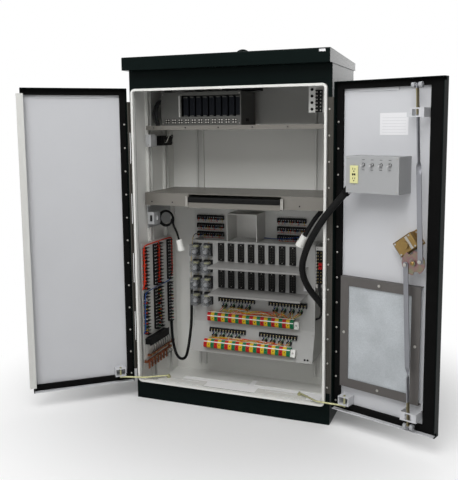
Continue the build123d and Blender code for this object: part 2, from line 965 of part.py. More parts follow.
bracket_right = bracket_left + bracket_width
bracket_top = bracket_bottom + bracket_height
with BuildPart() as centre_bracket:
    slab((bracket_left, bracket_right), (load_face, rear_panel_face), (bracket_bottom, bracket_top))
    slab(
        (bracket_left + panel_sheet, bracket_right - panel_sheet),
        (load_face - overrun, rear_panel_face - panel_sheet),
        (bracket_bottom - overrun, bracket_top - panel_sheet),
        mode=Mode.SUBTRACT,
    )

# Load panel with its two ledges, whose lower part leans forward like a desk
desk_lean = atan2(desk_reach, desk_crease - desk_bottom)
desk_out = Vector(0, -cos(desk_lean), sin(desk_lean))
desk_up = Vector(0, sin(desk_lean), cos(desk_lean))
desk_plane = Plane(origin=(0, load_face, desk_crease), x_dir=(1, 0, 0), z_dir=desk_out)
desk_foot = load_face - desk_reach
with BuildPart() as load_panel:
    with BuildSketch(Plane.YZ.offset(load_left)):
        Polygon(
            (load_face, load_top),
            (load_face, desk_crease),
            (desk_foot, desk_bottom),
            (desk_foot + desk_lip, desk_bottom),
            (desk_foot + desk_lip, desk_bottom + panel_sheet),
            (desk_foot + panel_sheet / cos(desk_lean), desk_bottom + panel_sheet),
            (load_face + panel_sheet, desk_crease),
            (load_face + panel_sheet, load_top),
            align=None,
        )
    extrude(amount=load_right - load_left)
    for x in (load_left, load_right - panel_sheet):
        with BuildSketch(Plane.YZ.offset(x)):
            Polygon(
                (load_face, load_top),
                (load_face, desk_crease),
                (desk_foot, desk_bottom),
                (channel_face_y, desk_bottom),
                (channel_face_y, load_top),
                align=None,
            )
        extrude(amount=panel_sheet)
    for height in ledge_heights:
        slab(
            (ledge_left, ledge_left + ledge_length),
            (load_face - ledge_depth, load_face),
            (height - ledge_sheet, height),
        )
        slab(
            (ledge_left, ledge_left + ledge_length),
            (load_face - ledge_depth, load_face - ledge_depth + ledge_sheet),
            (height - ledge_lip, height),
        )

socket_middle_x = socket_first_x + socket_pitch * (socket_count - 1) / 2
with BuildPart() as sockets:
    for middle in socket_middles:
        with Locations((socket_middle_x, load_face - socket_proud / 2, middle)):
            with GridLocations(socket_pitch, socket_pitch, socket_count, 1):
                Box(socket_width, socket_proud, socket_height)
        with Locations((socket_middle_x, load_face - socket_proud + socket_recess / 2, middle)):
            with GridLocations(socket_pitch, socket_pitch, socket_count, 1):
                Box(
                    socket_width - 2 * socket_wall,
                    socket_recess,
                    socket_height - 2 * socket_wall,
                    mode=Mode.SUBTRACT,
                )
    for x in relay_columns:
        for z in relay_rows:
            with Locations((x, load_face - relay_base_proud / 2, z)):
                Box(relay_width, relay_base_proud, relay_height)
    plug_middle = plug_pitch * (plugs_in_row - 1) / 2
    with BuildSketch(Plane.XZ.offset(-load_face)):
        with Locations([(x + plug_middle, plug_level) for x in plug_lefts]):
            with GridLocations(plug_pitch, plug_pitch, plugs_in_row, 1):
                Circle(plug_radius)
    extrude(amount=plug_proud)
    with BuildSketch(desk_plane):
        with Locations([(x + plug_middle, -desk_plug_drop) for x in desk_plug_lefts]):
            with GridLocations(plug_pitch, plug_pitch, plugs_in_row, 1):
                Circle(plug_radius)
    extrude(amount=plug_proud)

cover_rear = load_face - relay_base_proud
cover_width = relay_width - 2 * relay_cover_inset
cover_height = relay_height - 2 * relay_cover_inset
with BuildPart() as relay_covers:
    for x in relay_columns:
        for z in relay_rows:
            with Locations((x, cover_rear - relay_cover_depth / 2, z)):
                Box(cover_width, relay_cover_depth, cover_height)
            with Locations((x, cover_rear - (relay_cover_depth - relay_cover_wall) / 2, z)):
                Box(
                    cover_width - 2 * relay_cover_wall,
                    relay_cover_depth - relay_cover_wall,
                    cover_height - 2 * relay_cover_wall,
                    mode=Mode.SUBTRACT,
                )


def comb(poles, pitch, base, fin):
    """Outline of a barrier strip from the side: a base with a fin at every pole."""
    points = [(0, 0), (0, fin)]
    for pole in range(poles):
        points += [
            (pole * pitch + strip_fin_thickness, fin),
            (pole * pitch + strip_fin_thickness, base),
            ((pole + 1) * pitch, base),
            ((pole + 1) * pitch, fin),
        ]
    end = poles * pitch + strip_fin_thickness
    return points + [(end, fin), (end, 0)]


# Barrier strips, whose section is drawn along the strip and pushed across its width
bay_planes = [
    Plane(origin=(x, load_face, bay_strip_top), x_dir=(1, 0, 0), z_dir=(0, 0, -1)) for x in bay_strip_lefts
]
bay_planes += [
    Plane(
        origin=desk_plane.from_local_coords(Vector(x, -desk_strip_drop, 0)),
        x_dir=(1, 0, 0),
        z_dir=-desk_up,
    )
    for x in desk_strip_lefts
]
rear_planes = [
    Plane(origin=(x, rear_panel_face, top), x_dir=(1, 0, 0), z_dir=(0, 0, -1))
    for x in rear_strip_lefts
    for top in rear_strip_tops
]
wall_face = -channel_face_x + panel_sheet
wall_planes = [
    Plane(origin=(wall_face, y, bottom), x_dir=(0, 0, 1), z_dir=(0, 1, 0))
    for y in wall_strip_ys
    for bottom in wall_strip_bottoms
]
right_strip_plane = Plane(
    origin=(right_strip_left, load_face, right_strip_bottom), x_dir=(0, 0, 1), z_dir=(1, 0, 0)
)
jack_strip_plane = Plane(
    origin=(jack_left + jack_bar_width + jack_strip_gap, jack_face, jack_bar_bottom),
    x_dir=(0, 0, 1),
    z_dir=(1, 0, 0),
)
with BuildPart() as terminal_strips:
    for plane in bay_planes:
        with BuildSketch(plane):
            Polygon(*comb(strip_poles, strip_pitch, strip_base, strip_fin), align=None)
        extrude(amount=strip_width)
    for plane in rear_planes:
        with BuildSketch(plane):
            Polygon(*comb(rear_strip_blocks, rear_block_pitch, strip_base, strip_fin), align=None)
        extrude(amount=strip_width)
    for plane in wall_planes:
        with BuildSketch(plane):
            Polygon(*comb(wall_strip_blocks, wall_block_pitch, strip_base, wall_strip_fin), align=None)
        extrude(amount=wall_strip_width)
    with BuildSketch(right_strip_plane):
        Polygon(*comb(right_strip_poles, strip_pitch, strip_base, strip_fin), align=None)
    extrude(amount=wall_strip_width)
    with BuildSketch(jack_strip_plane):
        Polygon(*comb(jack_strip_poles, strip_pitch, strip_base, strip_fin), align=None)
    extrude(amount=wall_strip_width)
    slab(
        (wall_face, wall_face + connector_depth),
        (connector_start_y, connector_start_y + connector_length),
        (connector_bottom, connector_bottom + connector_height),
    )
    slab(
        (wall_face + connector_depth - connector_lip, wall_face + connector_depth),
        (connector_start_y, connector_start_y + connector_length),
        (connector_bottom - connector_lip, connector_bottom + connector_height + connector_lip),
    )


# Field blocks, whose section is drawn on planes that stand across each row
block_rows = (
    (block_left, Plane(origin=(0, load_face, block_level), x_dir=(0, 1, 0), z_dir=(1, 0, 0))),
    (
        desk_block_left,
        Plane(
            origin=desk_plane.from_local_coords(Vector(0, -desk_block_drop, 0)),
            x_dir=-desk_out,
            z_dir=(1, 0, 0),
        ),
    ),
)
block_half = block_height / 2
block_width = block_pitch - block_gap


def block_planes(colour):
    """Middle planes of the field blocks of one colour, which repeat every third place."""
    return [
        plane.offset(x + (3 * group + colour) * block_pitch + block_pitch / 2)
        for x, plane in block_rows
        for group in range(block_groups)
    ]


def block_outline():
    """Side view of a field block with its two front corners cut."""
    Polygon(
        (0, -block_half),
        (0, block_half),
        (block_chamfer - block_depth, block_half),
        (block_step - block_depth, block_half - block_step),
        (-block_depth, block_half - block_chamfer),
        (-block_depth, block_chamfer - block_half),
        (block_step - block_depth, block_step - block_half),
        (block_chamfer - block_depth, -block_half),
        align=None,
    )


with BuildPart() as field_blocks_red:
    for plane in block_planes(0):
        with BuildSketch(plane):
            block_outline()
        extrude(amount=block_width / 2, both=True)

with BuildPart() as field_blocks_yellow:
    for plane in block_planes(1):
        with BuildSketch(plane):
            block_outline()
        extrude(amount=block_width / 2, both=True)

with BuildPart() as field_blocks_green:
    for plane in block_planes(2):
        with BuildSketch(plane):
            block_outline()
        extrude(amount=block_width / 2, both=True)

row_length = 3 * block_groups * block_pitch
marker_front = block_chamfer - block_depth
with BuildPart() as marker_strips:
    for x, plane in block_rows:
        with BuildSketch(plane.offset(x)):
            Polygon(
                (marker_front, block_half),
                (marker_front, block_half + marker_proud),
                (marker_front + marker_height, block_half + marker_proud),
                (marker_front + marker_height, block_half),
                align=None,
            )
        extrude(amount=row_length)
        with BuildSketch(plane.offset(x + row_length)):
            Polygon(
                (0, -block_half),
                (0, block_half - clamp_chamfer),
                (clamp_chamfer - block_depth, block_half - clamp_chamfer),
                (clamp_chamfer - block_depth, -block_half),
                align=None,
            )
        extrude(amount=clamp_width)

# Left wall panel with its bus bars
wall_panel_front = front + wall_panel_front_setback
with BuildPart() as wall_panel:
    slab(
        (-channel_face_x, wall_face),
        (wall_panel_front, wall_panel_front + wall_panel_length),
        (wall_panel_bottom, wall_panel_bottom + wall_panel_height),
    )

bar_x = wall_face + bus_standoff
with BuildPart() as bus_bars:
    for y, z in bus_places:
        slab((bar_x, bar_x + bus_thickness), (y, y + bus_length), (z, z + bus_height))
        for foot in (y, y + bus_length - bus_height):
            slab((wall_face, bar_x), (foot, foot + bus_height), (z, z + bus_height))
    link_y, link_z = bus_places[-1]
    for link in range(bus_link_count):
        start = link_y + bus_height + bus_link_pitch * link
        slab(
            (bar_x + bus_thickness, bar_x + bus_thickness + bus_link_thickness),
            (start, start + bus_link_width),
            (link_z + bus_height - bus_link_length, link_z + bus_height),
        )

# Slotted sill plates that hold the free ends of the door stays
with BuildPart() as stay_plates:
    for hand in (-1, 1):
        slab(
            (hand * stay_plate_inner, hand * stay_plate_outer),
            (front, front + stay_plate_reach),
            (sill_height, sill_height + stay_plate_sheet),
        )
    with BuildSketch(Plane.XY.offset(sill_height)):
        for hand in (-1, 1):
            with Locations((hand * (stay_slot_inner + stay_slot_outer) / 2, front + stay_line_setback)):
                SlotOverall(stay_slot_outer - stay_slot_inner, stay_slot_width)
    extrude(amount=stay_plate_sheet, mode=Mode.SUBTRACT)


def column(radius, x, y, z, mode=Mode.ADD):
    """An upright cylinder between two heights of the current work plane."""
    with Locations((x, y, (z[0] + z[1]) / 2)):
        Cylinder(radius, z[1] - z[0], mode=mode)


def knuckle_heights(first):
    """Lower and upper ends of every second hinge knuckle."""
    return [
        (
            hinge_bottom + knuckle_length * place + knuckle_gap / 2,
            hinge_bottom + knuckle_length * (place + 1) - knuckle_gap / 2,
        )
        for place in range(first, hinge_knuckles, 2)
    ]


def body_leaf(hand):
    """Hinge leaf on the cabinet's front with its knuckles and the pin."""
    inner = hinge_x - knuckle_radius - hinge_clearance
    slab(
        (-hand * (inner - leaf_relief), -hand * (inner - leaf_relief - hinge_leaf_width)),
        (front - hinge_leaf, front),
        (hinge_bottom, hinge_top),
    )
    for span in knuckle_heights(0):
        column(knuckle_radius, -hand * hinge_x, hinge_y, span)
        slab(
            (-hand * hinge_x, -hand * (inner - leaf_relief - hinge_leaf)),
            (front - hinge_leaf - hinge_clearance, front - hinge_clearance),
            span,
        )
    column(hinge_pin_radius, -hand * hinge_x, hinge_y, (hinge_bottom, hinge_top))


def door_leaf(hand):
    """Hinge leaf on a door's edge with the knuckles between those of the cabinet."""
    slab(
        (door_start - hinge_leaf, door_start),
        (-hand * (knuckle_radius + leaf_relief), -hand * (knuckle_radius + leaf_relief + door_leaf_width)),
        (hinge_bottom, hinge_top),
    )
    for span in knuckle_heights(1):
        column(knuckle_radius, 0, 0, span)
        slab(
            (knuckle_radius - hinge_leaf, knuckle_radius),
            (0, -hand * (knuckle_radius + leaf_relief + hinge_leaf)),
            span,
        )
        column(knuckle_bore, 0, 0, span, mode=Mode.SUBTRACT)


def door_block(hand, u, v, z, mode=Mode.ADD):
    """A block in a door's own coordinates."""
    slab(u, (hand * v[0], hand * v[1]), z, mode=mode)


def door_pan(hand):
    """Skin and four turned edges of a door."""
    door_block(hand, (door_start, door_end), (skin_outer_v, lip_v), (door_bottom, door_top))
    door_block(
        hand,
        (door_start + sheet, door_end - sheet),
        (skin_v, lip_v + overrun),
        (door_bottom + sheet, door_top - sheet),
        mode=Mode.SUBTRACT,
    )
    for rim_z in (sill_height - rim_width, opening_top):
        door_block(
            hand,
            (door_end - sheet - overrun, door_end + overrun),
            (rim_front_v - rim_notch_gap, lip_v + overrun),
            (rim_z - rim_notch_gap, rim_z + rim_width + rim_notch_gap),
            mode=Mode.SUBTRACT,
        )


def door_fittings(hand, hanger):
    """The box bracket of a door stay and the plan hanger strip at the top."""
    half = stay_bracket_length / 2
    bracket_z = (stay_bracket_bottom, stay_bracket_bottom + stay_bracket_height)
    door_block(hand, (stay_u - half, stay_u + half), (skin_v, stay_bracket_reach), bracket_z)
    door_block(
        hand,
        (stay_u - half + stay_bracket_sheet, stay_u + half - stay_bracket_sheet),
        (skin_v + stay_bracket_sheet, stay_bracket_reach + overrun),
        (bracket_z[0] + stay_bracket_sheet, bracket_z[1] - stay_bracket_sheet),
        mode=Mode.SUBTRACT,
    )
    column(stay_pin_radius + fit_gap, stay_u, hand * stay_v, bracket_z, mode=Mode.SUBTRACT)
    hanger_top = door_top - hanger_drop
    door_block(
        hand,
        (hanger_start, hanger_start + hanger),
        (skin_v, skin_v + hanger_thickness),
        (hanger_top - hanger_height, hanger_top),
    )


with BuildPart() as left_hinge_leaf:
    body_leaf(1)

with BuildPart() as right_hinge_leaf:
    body_leaf(-1)

# Left door
with BuildPart(left_frame) as left_door:
    door_pan(1)
    door_fittings(1, hanger_length)

with BuildPart(left_frame) as left_door_hinge_leaf:
    door_leaf(1)

seal_v = (skin_v, rim_front_v - seal_clearance)
seal_start = door_start + sheet + gasket_margin
seal_end = door_end - sheet - gasket_margin
seal_bottom = door_bottom + sheet + gasket_margin
seal_top = door_top - sheet - gasket_margin
with BuildPart(left_frame) as left_door_gasket:
    door_block(1, (seal_start, seal_start + gasket_width), seal_v, (seal_bottom, seal_top))
    door_block(1, (seal_start, seal_end), seal_v, (seal_bottom, seal_bottom + gasket_width))
    door_block(1, (seal_start, seal_end), seal_v, (seal_top - gasket_width, seal_top))

strip_z = (door_bottom + strip_margin, door_top - strip_margin)
strip_low_v = lip_v + strip_standoff
with BuildPart(left_frame) as left_door_strip:
    door_block(
        1,
        (door_end - strip_lap_inside, door_end + strip_lap_beyond),
        (strip_low_v, strip_low_v + sheet),
        strip_z,
    )
    door_block(
        1,
        (door_end - 2 * sheet, door_end - sheet),
        (strip_low_v - strip_leg, strip_low_v),
        strip_z,
    )

# Right door
with BuildPart(right_frame) as right_door:
    door_pan(-1)
    door_fittings(-1, right_hanger_length)
    for middle in guide_middles:
        guide_z = (middle - guide_height / 2, middle + guide_height / 2)
        half = guide_width / 2
        door_block(-1, (guide_u - half, guide_u + half), (skin_v, guide_reach), guide_z)
        door_block(
            -1,
            (guide_u - half + guide_sheet, guide_u + half - guide_sheet),
            (skin_v, guide_reach - guide_sheet),
            guide_z,
            mode=Mode.SUBTRACT,
        )
        door_block(
            -1,
            (guide_u - guide_slot / 2, guide_u + guide_slot / 2),
            (guide_reach - guide_sheet, guide_reach + overrun),
            (guide_z[0] + guide_slot_floor, guide_z[1] - guide_slot_floor),
            mode=Mode.SUBTRACT,
        )
    with BuildSketch(face_plane(latch_u, skin_v, latch_z)):
        Circle(boss_radius)
    extrude(amount=cam_level - fit_gap - skin_v)
    with BuildSketch(face_plane(latch_u, skin_outer_v, latch_z)):
        Circle(spindle_radius + fit_gap)
    extrude(amount=cam_level - skin_outer_v, mode=Mode.SUBTRACT)
    for u in louvre_columns:
        hood_plane = Plane(
            origin=right_frame.from_local_coords(Vector(u, -skin_outer_v, 0)),
            x_dir=right_frame.y_dir,
            z_dir=right_frame.x_dir,
        )
        for row in range(louvre_rows):
            z = louvre_bottom + louvre_pitch * row
            with BuildSketch(hood_plane):
                Polygon((0, z), (louvre_proud, z), (0, z + louvre_height), align=None)
            extrude(amount=louvre_length)
            with BuildSketch(hood_plane.offset(louvre_wall)):
                Polygon(
                    (-sheet - overrun, z - overrun),
                    (louvre_proud - 2 * louvre_wall, z - overrun),
                    (-sheet - overrun, z + louvre_height - louvre_wall),
                    align=None,
                )
            extrude(amount=louvre_length - 2 * louvre_wall, mode=Mode.SUBTRACT)

with BuildPart(right_frame) as right_door_hinge_leaf:
    door_leaf(-1)

with BuildPart(right_frame) as right_door_gasket:
    door_block(-1, (seal_start, seal_start + gasket_width), seal_v, (seal_bottom, seal_top))
    door_block(-1, (seal_start, seal_end), seal_v, (seal_bottom, seal_bottom + gasket_width))
    door_block(-1, (seal_start, seal_end), seal_v, (seal_top - gasket_width, seal_top))
    free_end = door_end - gasket_free_margin
    door_block(-1, (free_end - gasket_free_width, free_end), seal_v, (seal_bottom, seal_top))

pad_v = (skin_v, skin_v + filter_pad_depth)
with BuildPart(right_frame) as filter_pad:
    door_block(
        -1,
        (filter_left - filter_pad_peek, filter_left + filter_width - filter_pad_inset),
        pad_v,
        (filter_bottom + filter_pad_inset, filter_bottom + filter_height - filter_pad_inset),
    )

with BuildPart(right_frame) as filter_frame:
    frame_v = (pad_v[1], pad_v[1] + filter_frame_sheet)
    door_block(
        -1,
        (filter_left, filter_left + filter_width),
        frame_v,
        (filter_bottom, filter_bottom + filter_height),
    )
    door_block(
        -1,
        (filter_left + filter_border, filter_left + filter_width - filter_border),
        (frame_v[0], frame_v[1] + overrun),
        (filter_bottom + filter_border, filter_bottom + filter_height - filter_border),
        mode=Mode.SUBTRACT,
    )
    for z in (filter_bottom, filter_bottom + filter_height - filter_frame_sheet):
        door_block(
            -1,
            (filter_left, filter_left + filter_width),
            (skin_v, frame_v[0]),
            (z, z + filter_frame_sheet),
        )

# Switch box with outlet and four toggles
bush_plane = face_plane(0, box_reach, 0)
half_flat = radians(180 / 8)
bush_bore = toggle_pivot_length / 2 + toggle_pivot_radius * tan(half_flat) + fit_gap / cos(half_flat)
loom_entry = right_frame.from_local_coords(Vector(box_left, -loom_box_v, box_bottom + loom_box_rise))
loom_heading = (Vector(*loom_places[0]) - loom_entry).normalized()
toggle_us = [toggle_first_u + toggle_pitch * place for place in range(toggle_count)]
with BuildPart(right_frame) as switch_box:
    box_right = box_left + box_width
    door_block(-1, (box_left, box_right), (skin_v, box_reach), (box_bottom, box_bottom + box_height))
    door_block(
        -1,
        (box_left + box_sheet, box_right - box_sheet),
        (skin_v, box_reach - box_sheet),
        (box_bottom + box_sheet, box_bottom + box_height - box_sheet),
        mode=Mode.SUBTRACT,
    )
    with BuildSketch(bush_plane):
        for u in toggle_us:
            with Locations((u, toggle_z)):
                RegularPolygon(bush_radius, 6)
    extrude(amount=bush_proud)
    with BuildSketch(bush_plane.offset(bush_proud)):
        for u in toggle_us:
            with Locations((u, toggle_z)):
                RegularPolygon(bush_bore, 8)
    extrude(amount=-bush_proud - box_sheet, mode=Mode.SUBTRACT)
    with BuildSketch(Plane(origin=loom_entry - loom_heading * gland_root, z_dir=loom_heading)):
        Circle(gland_radius)
    extrude(amount=gland_root + gland_length)

with BuildPart() as outlet:
    with BuildSketch(face_plane(outlet_u, box_reach, outlet_z)):
        Rectangle(outlet_width, outlet_height)
    extrude(amount=outlet_proud)

toggles = []
for u in toggle_us:
    pivot_plane = face_plane(u, box_reach + bush_proud / 2, toggle_z)
    axle_plane = Plane(
        origin=pivot_plane.origin, x_dir=pivot_plane.z_dir, z_dir=pivot_plane.x_dir
    )
    with BuildPart() as toggle:
        with BuildSketch(turned(pivot_plane, (toggle_throw, 0, 0))):
            RegularPolygon(toggle_root_radius, 6)
        extrude(amount=toggle_length, taper=-toggle_taper)
        with BuildSketch(axle_plane):
            Circle(toggle_pivot_radius)
        extrude(amount=toggle_pivot_length / 2, both=True)
    toggles.append(toggle)
toggle_1, toggle_2, toggle_3, toggle_4 = toggles

# Three-point latch: lock case, cam, handle, two rods and their rollers
case_plane = turned(face_plane(case_u, skin_v, case_z), (0, 0, case_turn))
with BuildPart() as lock_case:
    with BuildSketch(case_plane):
        Rectangle(case_length + 2 * case_plate_margin, case_width)
    extrude(amount=case_plate_sheet)
    with BuildSketch(case_plane.offset(case_plate_sheet)):
        Rectangle(case_length, case_width)
    extrude(amount=case_height)
    chamfer(lock_case.faces().sort_by(Axis(case_plane.origin, case_plane.z_dir))[-1].edges(), case_chamfer)
    with BuildSketch(case_plane.offset(case_plate_sheet + case_height)):
        Circle(case_boss_radius)
    extrude(amount=case_boss_height)

cam_plane = face_plane(latch_u, cam_level, latch_z)
pin_u = pin_circle * cos(radians(pin_lean))
pin_z = pin_circle * sin(radians(pin_lean))
with BuildPart() as latch_cam:
    with BuildSketch(cam_plane):
        Circle(cam_radius)
        with PolarLocations(cam_radius, 2, start_angle=90 + pin_lean):
            Circle(cam_notch_radius, mode=Mode.SUBTRACT)
    extrude(amount=cam_thickness)
    with BuildSketch(cam_plane.offset(cam_thickness)):
        with Locations((pin_u, pin_z), (-pin_u, -pin_z)):
            Circle(crank_pin_radius)
    extrude(amount=crank_pin_length)
    with BuildSketch(cam_plane.offset(cam_thickness)):
        RegularPolygon(spindle_nut_radius, 6)
    extrude(amount=spindle_nut_height)
    with BuildSketch(cam_plane):
        Circle(spindle_radius)
    extrude(amount=skin_outer_v - handle_gap - cam_level)

hub_plane = face_plane(latch_u, skin_outer_v - handle_gap, latch_z)
with BuildPart() as door_handle:
    with BuildSketch(hub_plane):
        Circle(handle_hub_radius)
    extrude(amount=-handle_hub_height)
    with BuildSketch(hub_plane.offset(-handle_hub_height)):
        with Locations((0, -handle_arm_length / 2)):
            Rectangle(handle_arm_width, handle_arm_length + handle_arm_width)
    extrude(amount=-handle_arm_thickness)
    with BuildSketch(hub_plane.offset(-handle_hub_height - handle_arm_thickness)):
        with Locations((0, handle_arm_width / 2 - handle_arm_length)):
            Rectangle(handle_arm_width, 2 * handle_arm_width)
    extrude(amount=-handle_grip_length)


def rod_plane(pin, end):
    """Plane across a latch rod at its cam pin: x lies on the door and z runs along the rod."""
    along = right_frame.x_dir * (end[0] - pin[0]) + right_frame.z_dir * (end[1] - pin[1])
    origin = right_frame.from_local_coords(Vector(pin[0], -rod_level, pin[1]))
    return Plane(origin=origin, x_dir=along.cross(-right_frame.y_dir), z_dir=along)


def rod_bar(length, twist):
    """The straight parts of a latch rod, flat on the door and then on edge, and its roller axle."""
    slab((-rod_width / 2, rod_width / 2), (-rod_thickness / 2, rod_thickness / 2), (0, twist))
    slab(
        (-rod_thickness / 2, rod_thickness / 2),
        (-rod_width / 2, rod_width / 2),
        (twist + twist_length, length + rod_tail),
    )
    with Locations(Location((0, 0, 0), (90, 0, 0))):
        Cylinder(rod_end_radius, rod_thickness)
        Cylinder(crank_pin_radius + fit_gap, rod_thickness, mode=Mode.SUBTRACT)
    with Locations(Location((0, 0, length), (0, 90, 0))):
        Cylinder(axle_radius, 2 * (roller_offset + roller_width / 2 + axle_overhang))
        Cylinder(axle_collar_radius, 2 * (roller_offset - roller_width / 2 - fit_gap))


def roller_pair(length):
    """Two rollers on the axle at a rod's end."""
    for offset in (-roller_offset, roller_offset):
        with Locations(Location((offset, 0, length), (0, 90, 0))):
            Cylinder(roller_radius, roller_width)
            Cylinder(roller_bore, roller_width, mode=Mode.SUBTRACT)


upper_pin = (latch_u + pin_u, latch_z + pin_z)
lower_pin = (latch_u - pin_u, latch_z - pin_z)
upper_end = (upper_rod_end_u, upper_rod_end_z)
lower_end = (lower_rod_end_u, lower_rod_end_z)
upper_plane = rod_plane(upper_pin, upper_end)
lower_plane = rod_plane(lower_pin, lower_end)
upper_length = hypot(upper_end[0] - upper_pin[0], upper_end[1] - upper_pin[1])
lower_length = hypot(lower_end[0] - lower_pin[0], lower_end[1] - lower_pin[1])
upper_twist = upper_length * upper_twist_share
lower_twist = lower_length * lower_twist_share

with BuildPart(upper_plane) as upper_rod:
    for step in range(twist_steps + 1):
        share = step / twist_steps
        step_plane = upper_plane.offset(upper_twist + twist_length * share)
        with BuildSketch(turned(step_plane, (0, 0, 90 * share))):
            Rectangle(rod_width, rod_thickness)
    loft(ruled=True)
    rod_bar(upper_length, upper_twist)

with BuildPart(lower_plane) as lower_rod:
    for step in range(twist_steps + 1):
        share = step / twist_steps
        step_plane = lower_plane.offset(lower_twist + twist_length * share)
        with BuildSketch(turned(step_plane, (0, 0, 90 * share))):
            Rectangle(rod_width, rod_thickness)
    loft(ruled=True)
    rod_bar(lower_length, lower_twist)

with BuildPart(upper_plane) as upper_rollers:
    roller_pair(upper_length)

with BuildPart(lower_plane) as lower_rollers:
    roller_pair(lower_length)


def stay_points(frame, hand, bend):
    """Pivot, bend and stud of a stay whose stud lies on the slot's line."""
    pivot = frame.from_local_coords(Vector(stay_u, hand * stay_v, stay_level))
    rise = front + stay_line_setback - pivot.Y
    stud = pivot + Vector(hand * (stay_length**2 - rise**2) ** 0.5, rise, 0)
    along = (stud - pivot).normalized()
    across = Vector(hand * along.Y, -hand * along.X, 0)
    return [pivot, pivot + along * (stay_length * stay_bend_share) + across * bend, stud]


def stay_ends(points):
    """Hinge pin at the bracket and headed stud at the slot."""
    pivot, knee, stud = points
    pin_top = stay_bracket_bottom + stay_bracket_height + stay_pin_radius
    column(stay_pin_radius, pivot.X, pivot.Y, (stay_level - stay_pin_radius, pin_top))
    foot = sill_height + stay_plate_sheet + stay_float
    column(stay_nut_radius, stud.X, stud.Y, (foot, foot + stay_nut_height))
    column(stay_pin_radius, stud.X, stud.Y, (foot + stay_nut_height / 2, stay_level + stay_pin_radius))


left_stay_points = stay_points(left_frame, 1, left_stay_bend)
right_stay_points = stay_points(right_frame, -1, right_stay_bend)
with BuildPart() as left_stay_rod:
    with BuildLine():
        left_stay_path = FilletPolyline(*left_stay_points, radius=stay_bend_radius)
    with BuildSketch(Plane(origin=left_stay_path @ 0, z_dir=left_stay_path % 0)):
        Circle(stay_rod_radius)
    sweep()
    stay_ends(left_stay_points)

with BuildPart() as right_stay_rod:
    with BuildLine():
        right_stay_path = FilletPolyline(*right_stay_points, radius=stay_bend_radius)
    with BuildSketch(Plane(origin=right_stay_path @ 0, z_dir=right_stay_path % 0)):
        Circle(stay_rod_radius)
    sweep()
    stay_ends(right_stay_points)

# Cables: the loom to the right door, the harness under the shelf and the coil on the left
clip_x = channel_face_x - loom_radius - fit_gap
clip_y = channel_front_edge + (channel_width - channel_mouth) / 4
loom_points = [loom_entry + loom_heading * gland_length]
loom_points += [Vector(*place) for place in loom_places]
loom_points += [Vector(clip_x, clip_y, z) for z in loom_clip_heights]
with BuildPart() as door_loom:
    with BuildLine():
        loom_path = FilletPolyline(*loom_points, radius=loom_bend)
    with BuildSketch(Plane(origin=loom_path @ 0, z_dir=loom_path % 0)):
        Circle(loom_radius)
    sweep()

harness_points = [Vector(harness_start[0], harness_start[1], shelf_under)]
harness_points += [Vector(*place) for place in harness_places]
with BuildPart() as harness_right:
    with BuildLine():
        harness_path = FilletPolyline(*harness_points, radius=harness_bend)
    with BuildSketch(Plane(origin=harness_path @ 0, z_dir=harness_path % 0)):
        Circle(harness_radius)
    sweep()

coil_middle = (coil_outer + coil_inner) / 2
coil_x = plate_x + coil_outer + fit_gap
tail_start = Vector(coil_x + coil_middle, coil_y, coil_height)
tail_points = [tail_start] + [tail_start + Vector(*step) for step in tail_steps]
with BuildPart() as cable_coil:
    with BuildSketch(Plane.XZ.offset(-coil_y)):
        with Locations((coil_x, coil_height)):
            RegularPolygon(coil_outer, coil_sides)
            RegularPolygon(coil_inner, coil_sides, mode=Mode.SUBTRACT)
    extrude(amount=coil_thickness / 2, both=True)
    with BuildLine():
        tail_path = FilletPolyline(*tail_points, radius=tail_bend)
    with BuildSketch(Plane(origin=tail_path @ 0, z_dir=tail_path % 0)):
        RegularPolygon(tail_radius, tail_sides)
    sweep()

with BuildPart() as harness_plugs:
    for end, reach in ((harness_points[-1], harness_path % 1), (tail_points[-1], tail_path % 1)):
        with BuildSketch(Plane(origin=end, z_dir=reach)):
            Circle(harness_plug_radius)
        extrude(amount=harness_plug_length)
        with BuildSketch(Plane(origin=end, z_dir=reach).offset(harness_plug_length - harness_ring_length)):
            Circle(harness_ring_radius)
        extrude(amount=harness_ring_length)

